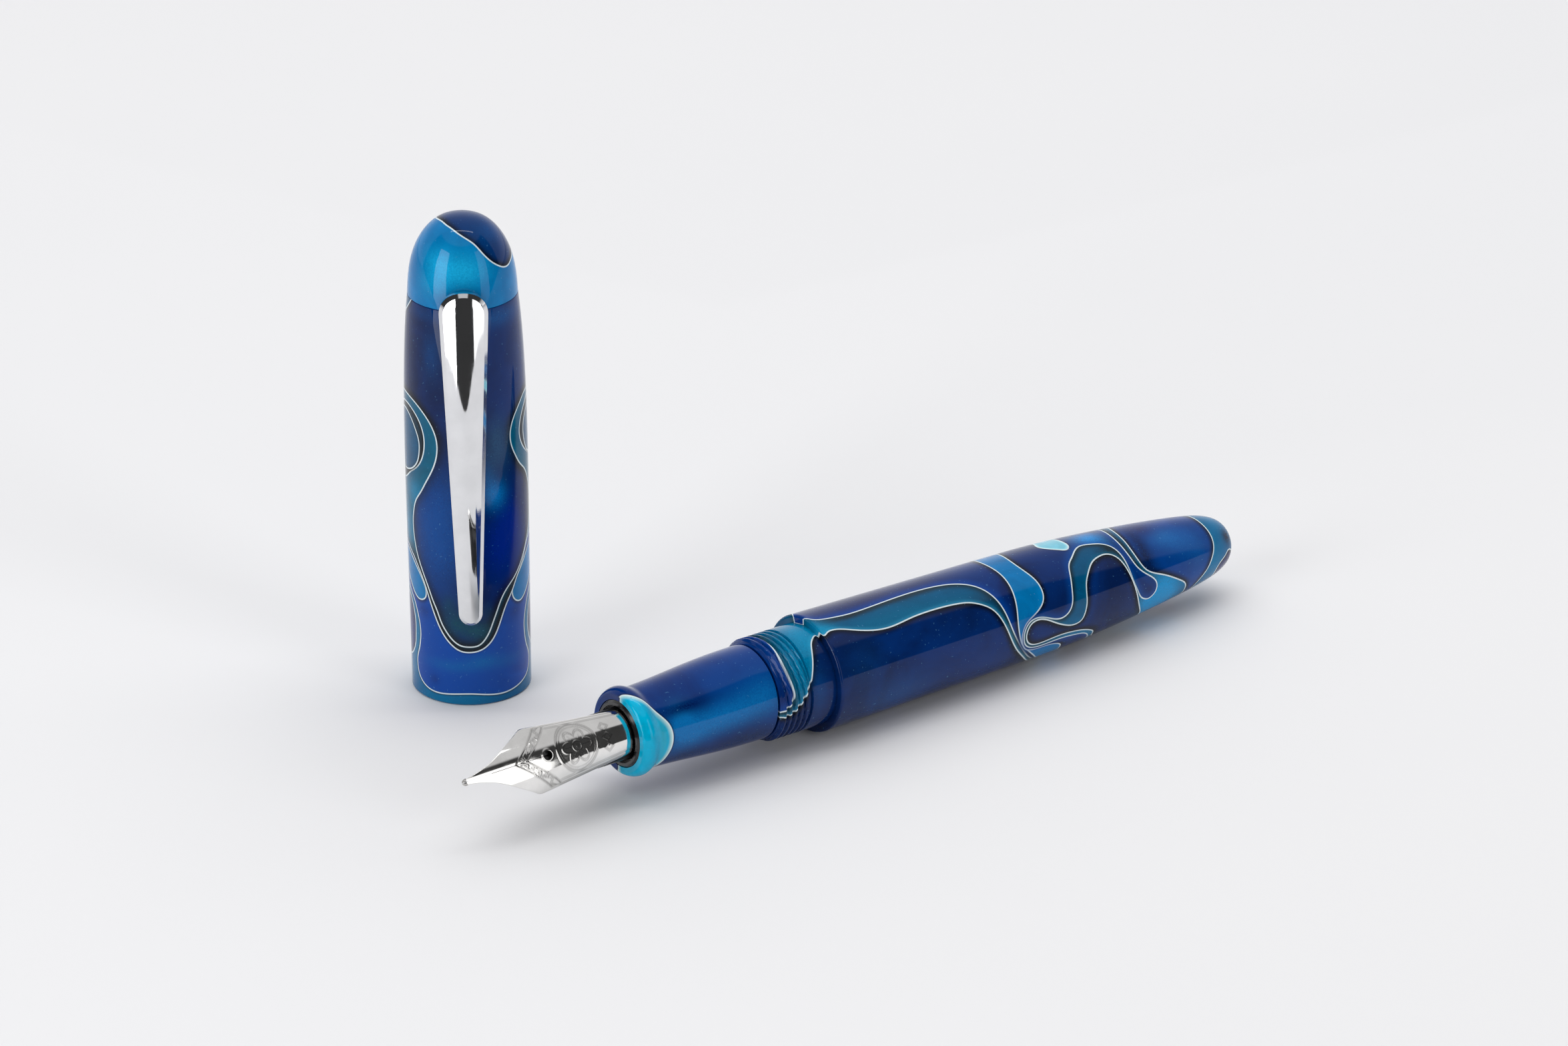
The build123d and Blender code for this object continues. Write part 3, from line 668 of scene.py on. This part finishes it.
# ---- Acrylic pieces --------------------------------------------------------------------
barrel = lathe(
    "barrel_shell", barrel_outline, 200, pen_place, BARREL_SWIRLS, BARREL_TINTS, skin_of(barrel_rows),
    thread_relief(NECK_THREAD, (6.0, 7.0), 6.16, 0.34, CAP_PITCH, CAP_STARTS))
grip_piece = lathe(
    "grip_shell", grip_outline, 192, pen_place, GRIP_SWIRLS, GRIP_TINTS, skin_of(grip_rows),
    thread_relief(GRIP_THREAD, (4.4, 5.0), 4.48, 0.35, 0.75, 1))
cap = lathe(
    "cap_shell", cap_outline, 232, cap_place, CAP_SWIRLS, CAP_TINTS, skin_of(wall),
    thread_relief(CAP_THREAD, (6.0, 6.8), 6.62, -0.30, CAP_PITCH, CAP_STARTS, past=0.2))
finial = lathe("finial_dome", finial_outline, 200, cap_place, FINIAL_SWIRLS, FINIAL_TINTS, skin_of(dome))
for piece, node, body in (
        (barrel, "barrel", "barrel"), (grip_piece, "grip_section", "grip"),
        (cap, "cap_tube", "cap"), (finial, "cap_finial", "cap")):
    outward(piece)
    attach(piece, body)
    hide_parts(node)

BARREL_BASE = (0.001, 0.014, 0.100), (0.001, 0.033, 0.182)
GRIP_BASE = (0.001, 0.024, 0.148), (0.001, 0.043, 0.228)
CAP_BASE = (0.0, 0.110, 0.275), (0.0, 0.155, 0.330)
FINIAL_BASE = (0.000, 0.150, 0.395), (0.000, 0.215, 0.520)
barrel.data.materials.append(swirl_material("acrylic_barrel", BARREL_BASE, [
    ("ribbon", TEAL, (0.005, 0.025, 0.038), 1.2, (0.000, 0.055, 0.320), 0.6, 1.5),
    ("field", NAVY, BLACK, 1.1, CYAN, 0.30, 0.7),
    ("band", AZURE, AZURE, 0.3, BLACK, 0.95, 1.1),
    ("deep", NAVY, BLACK, 1.0, CYAN, 0.08, 0.6),
    ("drop", (0.180, 0.540, 0.680), (0.40, 0.76, 0.84), 0.5, BLACK, 0.7, 0.5),
    ("arch", TEAL, (0.005, 0.020, 0.028), 1.0, (0.000, 0.060, 0.300), 0.6, 1.3),
    ("tongue", NAVY, BLACK, 1.2, (0.0, 0.13, 0.22), 0.4, 0.7),
    ("royal", (0.000, 0.044, 0.235), BLACK, 1.0, (0.01, 0.20, 0.32), 0.25, 0.6),
    ("tail", (0.000, 0.105, 0.260), (0.0, 0.15, 0.28), 0.6, BLACK, 0.95, 1.1),
    ("tail_spot", VIOLET, BLACK, 0.6, TEAL, 0.2, 0.5),
], BARREL_TINTS))
grip_piece.data.materials.append(swirl_material("acrylic_grip", GRIP_BASE, [
    ("blob", TURQUOISE, (0.50, 0.72, 0.72), 0.7, BLACK, 0.95, 0.4),
], GRIP_TINTS))
cap.data.materials.append(swirl_material("acrylic_cap", CAP_BASE, [
    ("lip", ROYAL, (0.000, 0.065, 0.290), 0.4, BLACK, 0.95, 0.4),
    ("side", VIOLET, (0.02, 0.03, 0.08), 0.8, TEAL, 0.2, 0.6),
    ("bead_left", AZURE, (0.0, 0.16, 0.35), 0.4, BLACK, 0.8, 0.7),
    ("bead_right", AZURE, (0.0, 0.16, 0.35), 0.4, BLACK, 0.8, 0.7),
    ("wave", (0.0, 0.100, 0.185), BLACK, 2.2, BLACK, 0.5, 0.4),
    ("heart", NAVY, BLACK, 1.5, BLACK, 0.0, 0.4),
    ("ring_left", (0.004, 0.030, 0.055), BLACK, 0.9, TEAL, 0.4, 1.2),
    ("ring_right", (0.004, 0.030, 0.055), BLACK, 0.9, TEAL, 0.4, 1.2),
    ("core_left", (0.007, 0.080, 0.180), (0.007, 0.060, 0.13), 0.6, BLACK, 0.8, 0.6),
    ("core_right", (0.007, 0.080, 0.180), (0.007, 0.060, 0.13), 0.6, BLACK, 0.8, 0.6),
    ("crown", TEAL, TEAL, 0.4, BLACK, 0.7, 0.8),
], CAP_TINTS))
finial.data.materials.append(swirl_material("acrylic_finial", FINIAL_BASE, [
    ("pole", (0.001, 0.030, 0.140), BLACK, 1.0, TEAL, 0.1, 0.5),
], FINIAL_TINTS))

# ---- Clip ------------------------------------------------------------------------------
CLIP_TOP, CLIP_FOOT = 55.4, 11.6
TOP_HALF, FOOT_HALF = 2.98, 1.45
RIM = 0.42


def clip_ring_points(inset, count=46):
    """The blade's outline, moved inwards: (across, height) points from the foot's middle round to
    the top's middle and back."""
    low, high = CLIP_FOOT + FOOT_HALF, CLIP_TOP - TOP_HALF
    lean = math.asin((TOP_HALF - FOOT_HALF) / (high - low))
    turn = np.linspace(-math.pi / 2, -lean, count // 2)
    foot = np.stack([np.cos(turn), np.sin(turn)], -1) * (FOOT_HALF - inset) + [0, low]
    turn = np.linspace(-lean, math.pi / 2, count // 2)
    top = np.stack([np.cos(turn), np.sin(turn)], -1) * (TOP_HALF - inset) + [0, high]
    t = (np.arange(1, 2 * count) / (2 * count))[:, None]
    side = foot[-1] * (1 - t) + top[0] * t
    half = np.concatenate([foot, side, top])
    return np.concatenate([half, half[-2:0:-1] * [-1, 1]])


def blade_heights(height):
    """Front and back of the blade above the cap's axis, at its middle."""
    knots = [CLIP_FOOT - 0.1, 30, 47, CLIP_TOP + 0.1]
    front = np.polyfit(knots, [9.05, 9.2, 8.95, 8.35], 3)
    back = np.polyfit(knots, [8.0, 8.05, 7.8, 7.1], 3)
    return np.polyval(front, height), np.polyval(back, height)


def ridge_drop(across):
    """How far the blade's front falls from its ridge."""
    return 0.5 * (np.sqrt(across ** 2 + 1.1 ** 2) - 1.1)


def clip_blade():
    """Blade with a rounded ridge, a bevelled rim and full-round ends: (vertices, faces)."""
    co, faces = [], []
    insets = [(0.16, "back"), (0.03, "low"), (0.0, "edge"), (0.0, "rim"), (0.05, "rim"), (RIM - 0.05, "rim")]
    insets += [(inset, "front") for inset in (RIM, 0.50, 0.75, 1.0, 1.2, 1.38)]
    rings = []
    for inset, kind in insets:
        ring = clip_ring_points(inset)
        front, back = blade_heights(ring[:, 1])
        drop = ridge_drop(ring[:, 0])
        rim_drop = np.clip((RIM - inset) / RIM, 0, 1) * 0.34
        rho = {
            "back": back - 0.8 * drop, "low": back - 0.8 * drop + 0.12,
            "edge": back - 0.8 * drop + 0.25}.get(kind, front - drop - rim_drop)
        rings.append(len(co))
        co += [(r, y, z) for r, (y, z) in zip(rho, ring)]
    count = len(ring)
    for a, b in zip(rings[:-1], rings[1:]):
        faces += [[a + i, a + (i + 1) % count, b + (i + 1) % count, b + i] for i in range(count)]
    for base, deep in ((rings[-1], 0), (rings[0], 1)):
        half = count // 2
        inner = 6
        rows = [[base]]
        for i in range(1, half):
            left, right = np.array(co[base + count - i]), np.array(co[base + i])
            row = [base + count - i]
            for k in range(1, inner):
                y = left[1] + (right[1] - left[1]) * k / inner
                z = left[2]
                front, back = blade_heights(z)
                drop = ridge_drop(y)
                row.append(len(co))
                co.append((back - 0.8 * drop if deep else front - drop, y, z))
            rows.append(row + [base + i])
        rows.append([base + half])
        for a, b in zip(rows[1:-2], rows[2:-1]):
            faces += [[a[k], a[k + 1], b[k + 1], b[k]] for k in range(inner)]
        faces += [[rows[0][0], rows[1][k + 1], rows[1][k]] for k in range(inner)]
        faces += [[rows[-1][0], rows[-2][k], rows[-2][k + 1]] for k in range(inner)]
    return np.array(co), faces


def box_of(x, y, z):
    """A box between two places on each axis: (vertices, faces)."""
    corners = [(a, b, c) for a in x for b in y for c in z]
    return corners, [(0, 1, 3, 2), (4, 6, 7, 5), (0, 4, 5, 1), (2, 3, 7, 6), (0, 2, 6, 4), (1, 5, 7, 3)]


def foot_ball(rows=11, columns=24):
    """The long ball under the foot: (vertices, faces), with one face at each end."""
    latitude, longitude = np.meshgrid(
        np.radians(np.linspace(-90, 90, rows + 2)[1:-1]), np.radians(np.arange(columns) * 360 / columns),
        indexing="ij")
    co = np.stack([
        8.25 + 0.7 * np.cos(latitude) * np.cos(longitude),
        np.cos(latitude) * np.sin(longitude),
        14.2 + 1.6 * np.sin(latitude)], -1)
    index = np.arange(rows * columns).reshape(rows, columns)
    after = np.roll(index, -1, axis=1)
    faces = np.stack([index[:-1], after[:-1], after[1:], index[1:]], -1).reshape(-1, 4).tolist()
    return co.reshape(-1, 3), faces + [index[0, ::-1].tolist(), index[-1].tolist()]


def make_clip():
    """The blade with its arm through the cap's wall, its root and its foot's ball, as one piece."""
    co, faces = clip_blade()
    arm = box_of((6.13, 7.78), (-1.6, 1.6), (52.03, 52.45))
    root = box_of((7.1, 8.0), (-1.6, 1.6), (51.95, 52.85))
    for more_co, more_faces in (arm, root, foot_ball()):
        faces += [[len(co) + i for i in face] for face in more_faces]
        co = np.concatenate([co, more_co])
    angle = np.degrees(np.arctan2(co[:, 1], co[:, 0]))
    placed = cap_place(co[:, 2], np.hypot(co[:, 0], co[:, 1]), angle)
    return outward(make_mesh("clip_blade", placed, faces, sharp=28.0))


clip = make_clip()
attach(clip, "clip")
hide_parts("clip")

# ---- Nib -------------------------------------------------------------------------------
TIP_X, HOLE_X, HOLE_R = -51.35, -40.4, 0.58
tine = cubic(
    [(TIP_X, 0.36), (-49.4, 0.75), (-47.7, 1.3), (-45.6, 2.34), (-42.5, 3.87)],
    start=(1, 0.12), end=(1, 0.5), step=0.05)[0]
corner = cubic([(-42.5, 3.87), (-41.5, 4.08)], start=(1, 0.5), end=(1, -0.1), step=0.05)[0]
nib_side = join(tine, corner, line_of((-41.5, 4.08), (-28.15, 2.75), (-22.6, 2.7), step=0.2))
ARCHES = np.array([
    (-52.0, 1.6, 5.8), (-47.0, 2.4, 5.6), (-42.0, 2.98, 5.3), (-37.2, 3.26, 4.2), (-32.0, 3.3, 3.5),
    (-28.15, 3.3, 3.3), (-22.5, 3.3, 3.3)])
crest_curve = cubic(ARCHES[:, :2], step=0.1)[0]
arch_curve = cubic(ARCHES[:, [0, 2]], step=0.1)[0]


def ridge(distance, width):
    return np.exp(-(distance / width) ** 2)


def engraving(s, y):
    """Raised and sunk ornament on the nib, in mm: a scrolled chevron band, a ringed rosette, a row
    of lozenges, and lines along the edges."""
    side = np.abs(y)
    half = np.interp(s, nib_side[:, 0], nib_side[:, 1])
    along = 1.59 * side
    band = (s + 44.9 - 1.23 * side) * 0.95
    inside = np.clip((band + 0.05) / 0.1, 0, 1) * np.clip((1.5 - band) / 0.1, 0, 1)
    within = np.clip((half - side - 0.2) / 0.2, 0, 1)
    height = 0.045 * (ridge(band, 0.085) + ridge(band - 1.45, 0.085)) - 0.03 * inside
    wave = 0.72 + 0.34 * np.sin(2 * math.pi * along / 1.9)
    height += 0.05 * inside * ridge(band - wave, 0.11)
    for k in range(4):
        centre = 0.95 * k + 0.475
        curl = np.hypot(band - (0.98 if k % 2 else 0.46), along - centre - 0.12)
        height += 0.05 * inside * (ridge(curl, 0.09) + ridge(curl - 0.24, 0.06))
    height *= within
    r = np.hypot(s + 36.25, y) * 0.91
    turn = np.arctan2(y, s + 36.25)
    disc = np.clip((2.45 - r) / 0.1, 0, 1)
    height += 0.05 * (ridge(r - 2.6, 0.085) + 0.8 * ridge(r - 2.3, 0.06)) - 0.035 * disc
    petal = 1.15 + 0.75 * np.abs(np.cos(3 * turn))
    height += disc * 0.055 * ridge(r - petal, 0.09)
    height += disc * 0.05 * (ridge(r, 0.22) + ridge(r - 0.55, 0.07))
    rays = np.clip((r - 0.6) * 4, 0, 1) * np.clip((1.7 - r) * 4, 0, 1)
    height += disc * 0.03 * rays * ridge(np.sin(6 * turn) * r, 0.09)
    for k in (-1, 0, 1):
        lozenge = np.abs(s + 31.9) / 0.60 + np.abs(y - 1.25 * k) / 0.46
        height += 0.045 * ridge(lozenge - 1, 0.22)
    edge_run = np.clip((s + 39.4) * 2, 0, 1)
    height += 0.04 * edge_run * (ridge(half - side - 0.22, 0.06) + ridge(half - side - 0.62, 0.06))
    rim = np.hypot(s - HOLE_X, y) - HOLE_R
    height += 0.05 * ridge(rim - 0.1, 0.12)
    return height


def make_nib():
    """Arched sheet with a breather hole and slit, each half a grid from its inner to its outer edge."""
    hole = HOLE_X - HOLE_R * np.cos(np.linspace(0, math.pi, 17))
    s = np.concatenate([
        np.linspace(TIP_X, hole[0], 170)[:-1], hole, np.linspace(hole[-1], -28.15, 150)[1:],
        np.linspace(-28.15, -22.6, 24)[1:]])
    half = np.interp(s, nib_side[:, 0], nib_side[:, 1])
    inner = np.where(s < HOLE_X, 0.03, 0.0)
    in_hole = np.abs(s - HOLE_X) < HOLE_R
    inner[in_hole] = np.maximum(inner[in_hole], np.sqrt(HOLE_R ** 2 - (s[in_hole] - HOLE_X) ** 2))
    t = np.linspace(0, 1, 44)
    y = inner[:, None] + (half - inner)[:, None] * (t - 0.06 * np.sin(2 * math.pi * t))
    s_grid = np.repeat(s[:, None], len(t), axis=1)
    crest = np.interp(s_grid, crest_curve[:, 0], crest_curve[:, 1])
    radius = np.interp(s_grid, arch_curve[:, 0], arch_curve[:, 1])
    z = crest - radius + np.sqrt(radius ** 2 - y ** 2)
    top = np.stack([s_grid, y, z], -1)
    along = np.gradient(top, axis=0)
    across = np.gradient(top, axis=1)
    normal = np.cross(along, across)
    normal /= np.linalg.norm(normal, axis=2, keepdims=True)
    thick = np.interp(s, [TIP_X, -42, -22], [0.5, 0.35, 0.35])[:, None, None]
    bottom = top - normal * thick
    edge = np.clip((half[:, None] - y) / 0.08, 0, 1)[..., None]
    ornament = engraving(s_grid, y) * (s_grid < -28.3)
    raised = top + normal * (0.3 * ornament[..., None] - 0.05 * (1 - edge) ** 2)
    reach = np.maximum(np.gradient(s)[:, None], 1e-6), np.maximum(np.gradient(y, axis=1), 1e-6)
    slope = np.hypot(np.gradient(ornament, axis=0) / reach[0], np.gradient(ornament, axis=1) / reach[1])
    line = np.clip(slope / 0.40, 0, 1)
    deeper = np.where(s_grid < -39.0, 0.76, 0.60)
    line = np.concatenate([(part * line).ravel() for part in (0.58, 0.0, deeper, 0.0)])
    rows, columns = y.shape
    size = rows * columns
    index = np.arange(size).reshape(rows, columns)
    last_open = int(np.argmax(s > HOLE_X + HOLE_R - 1e-9))
    faces = []
    for i in range(rows - 1):
        for j in range(columns - 1):
            a, b, c, d = index[i, j], index[i, j + 1], index[i + 1, j + 1], index[i + 1, j]
            faces += [[a, b, c, d], [a + size, d + size, c + size, b + size]]
        a, b = index[i, -1], index[i + 1, -1]
        faces.append([a, a + size, b + size, b])
        if i < last_open:
            a, b = index[i, 0], index[i + 1, 0]
            faces.append([a, b, b + size, a + size])
    for i in (0, rows - 1):
        for a, b in zip(index[i, :-1], index[i, 1:]):
            faces.append([a, a + size, b + size, b])
    halves = np.concatenate([raised.reshape(-1, 3), bottom.reshape(-1, 3)])
    both = np.concatenate([halves, halves * [1, -1, 1]])
    faces += [[v + 2 * size for v in f][::-1] for f in faces]
    roll = math.radians(NIB_ROLL)
    turned_y = both[:, 1] * math.cos(roll) - both[:, 2] * math.sin(roll)
    turned_z = both[:, 1] * math.sin(roll) + both[:, 2] * math.cos(roll)
    placed = pen_place(both[:, 0], np.hypot(turned_y, turned_z), np.degrees(np.arctan2(-turned_y, turned_z)))
    piece = make_mesh("nib_sheet", placed, faces)
    layer = piece.data.attributes.new("engraved", "FLOAT", "POINT")
    layer.data.foreach_set("value", line.astype(np.float32))
    mesh = bmesh.new()
    mesh.from_mesh(piece.data)
    bmesh.ops.remove_doubles(mesh, verts=mesh.verts, dist=2e-6)
    mesh.to_mesh(piece.data)
    mesh.free()
    outward(piece)
    piece.data.set_sharp_from_angle(angle=math.radians(50))
    return piece


nib = make_nib()
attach(nib, "nib_unit")
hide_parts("nib")

# ---- Materials of the carried-over nodes -------------------------------------------------
CHROME = finish_material(
    "chrome", (0.74, 0.745, 0.76), (0.80, 0.805, 0.82), 300.0, (0.03, 0.07), Metallic=1.0)
FINISHES = {
    "nib_housing": finish_material(
        "housing_plastic", (0.006, 0.006, 0.007), (0.012, 0.012, 0.013), 500.0, (0.16, 0.30), 0.25,
        Coat_Weight=0.3, Coat_Roughness=0.08),
    "nib_tipping": finish_material(
        "tipping_alloy", (0.42, 0.41, 0.40), (0.60, 0.59, 0.57), 4000.0, (0.18, 0.34), 0.3, Metallic=1.0),
    "feed": finish_material(
        "feed_plastic", (0.010, 0.010, 0.011), (0.020, 0.020, 0.022), 700.0, (0.30, 0.48), 0.4),
    "converter_tube": finish_material(
        "clear_plastic", (0.90, 0.93, 0.94), (0.97, 0.98, 0.98), 200.0, (0.03, 0.09),
        Transmission_Weight=1.0, IOR=1.49),
    "converter_mouth": finish_material(
        "mouth_plastic", (0.030, 0.030, 0.032), (0.060, 0.060, 0.062), 900.0, (0.35, 0.5), 0.3),
    "converter_collar": CHROME,
    "spindle_guide": finish_material(
        "guide_plastic", (0.020, 0.020, 0.022), (0.040, 0.040, 0.042), 900.0, (0.35, 0.5), 0.3),
    "drive_nut": finish_material(
        "nut_plastic", (0.015, 0.015, 0.017), (0.030, 0.030, 0.032), 900.0, (0.30, 0.45), 0.3),
    "converter_knob": finish_material(
        "knob_plastic", (0.008, 0.008, 0.009), (0.018, 0.018, 0.019), 600.0, (0.22, 0.36), 0.35),
    "piston_spindle": finish_material(
        "spindle_plastic", (0.025, 0.025, 0.028), (0.050, 0.050, 0.054), 900.0, (0.30, 0.45), 0.3),
    "piston_seal": finish_material(
        "seal_rubber", (0.010, 0.010, 0.010), (0.022, 0.022, 0.022), 1200.0, (0.50, 0.65), 0.5),
    "inner_cap": finish_material(
        "liner_plastic", (0.020, 0.022, 0.026), (0.040, 0.042, 0.048), 400.0, (0.35, 0.5), 0.3),
    "clip_ring": CHROME,
}
clip.data.materials.append(CHROME)
nib.data.materials.append(steel_material())
for node, material in FINISHES.items():
    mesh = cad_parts[node].data
    mesh.materials.clear()
    mesh.materials.append(material)

# ---- Floor, light and camera -----------------------------------------------------------
cap_axis = Vector(CAP_AXIS * MM)
VIEW_AZIMUTH = math.radians(52.3)
BACK = np.array([math.cos(VIEW_AZIMUTH), math.sin(VIEW_AZIMUTH)])
SIDE = np.array([BACK[1], -BACK[0]])
FLOOR = finish_material("floor_paper", (0.80, 0.80, 0.812), (0.815, 0.813, 0.822), 3.0, (0.75, 0.85))
FLOOR_REACH = 6000.0
MIRRORED_FROM = -112.0


def floor_piece(name, near, far, glossy):
    """A strip of floor between two distances from the cap, measured away from the camera."""
    corners = [(near, -FLOOR_REACH), (near, FLOOR_REACH), (far, FLOOR_REACH), (far, -FLOOR_REACH)]
    co = np.array([[*(CAP_AXIS[:2] + (BACK * a + SIDE * b)), 0.0] for a, b in corners])
    piece = make_mesh(name, co, [[0, 1, 2, 3]])
    piece.data.materials.append(FLOOR)
    piece.visible_glossy = glossy


# Reflections show only the floor behind this line.
floor_piece("floor", MIRRORED_FROM, FLOOR_REACH, True)
floor_piece("floor_front", -FLOOR_REACH, MIRRORED_FROM, False)

world = bpy.data.worlds.new("studio")
bpy.context.scene.world = world
world.use_nodes = True
world.node_tree.nodes.clear()
w = Nodes(world.node_tree)
direction = w.node("ShaderNodeTexCoord").outputs["Generated"]
parts = w.node("ShaderNodeSeparateXYZ", {0: direction}).outputs
behind = w.node(
    "ShaderNodeVectorMath", {0: direction, 1: (*BACK, 0)}, operation="DOT_PRODUCT").outputs["Value"]
steep = w.math("DIVIDE", parts[2], w.math("MAXIMUM", behind, 0.001))
backdrop = w.math("MULTIPLY", w.ramp(steep, 0.0, 0.9, 0.95, 0.60), w.ramp(behind, 0.02, 0.10))
ceiling = w.ramp(parts[2], 0.74, 0.80, 0.04, 0.60)
glow = w.math("MAXIMUM", backdrop, ceiling)
background = w.node("ShaderNodeBackground", {"Color": (1.0, 1.0, 1.012), "Strength": glow})
w.node("ShaderNodeOutputWorld", {0: background.outputs[0]})


def area_light(name, width, length, radiance, in_reflections):
    """A rectangular light that the camera doesn't see."""
    data = bpy.data.lights.new(name, "AREA")
    data.shape = "RECTANGLE"
    data.size = width
    data.size_y = length
    data.energy = radiance * math.pi * width * length
    lamp = bpy.data.objects.new(name, data)
    lamp.visible_camera = False
    lamp.visible_glossy = in_reflections
    bpy.context.scene.collection.objects.link(lamp)
    return lamp


def softbox(name, azimuth, width, radiance, in_reflections):
    """A tall light that faces the cap."""
    distance, low, high = 0.60, -0.22, 0.50
    a = math.radians(azimuth)
    out = Vector((math.cos(a), math.sin(a), 0))
    lamp = area_light(name, width, high - low, radiance, in_reflections)
    lamp.location = cap_axis + out * distance + Vector((0, 0, (low + high) / 2))
    lamp.rotation_euler = (-out).to_track_quat("-Z", "Y").to_euler()


softbox("softbox_left", -172.7, 0.30, 4.2, True)
softbox("softbox_right", -76.7, 0.21, 1.5, True)
softbox("softbox_right_fill", -76.7, 0.21, 2.7, False)


def overhead(name, width, depth, height, back, radiance, in_reflections):
    """A light above the objects, facing down, its long side across the view."""
    lamp = area_light(name, width, depth, radiance, in_reflections)
    lamp.location = cap_axis + Vector((*(BACK * back + SIDE * 0.03), height))
    lamp.rotation_euler = (0, 0, math.atan2(SIDE[1], SIDE[0]))


overhead("overhead_strip", 0.7, 0.05, 0.9, 0.0, 8.0, True)
overhead("overhead_fill", 1.8, 1.6, 1.0, 0.80, 1.12, False)

camera_data = bpy.data.cameras.new("camera")
camera_data.lens = 144.87
camera_data.sensor_width = 36.0
camera_data.sensor_fit = "HORIZONTAL"
camera_data.clip_start = 0.01
camera = bpy.data.objects.new("camera", camera_data)
ahead = Vector((0.555395, 0.719161, -0.417546))
right = Vector((0.791149, -0.611623, -0.001090))
up = right.cross(ahead)
camera.matrix_world = Matrix.Translation(cap_axis + Vector((-0.401331, -0.583393, 0.346295))) @ Matrix((
    (right.x, up.x, -ahead.x), (right.y, up.y, -ahead.y), (right.z, up.z, -ahead.z))).to_4x4()
bpy.context.scene.collection.objects.link(camera)
bpy.context.scene.camera = camera
bpy.context.scene.view_settings.view_transform = "Standard"
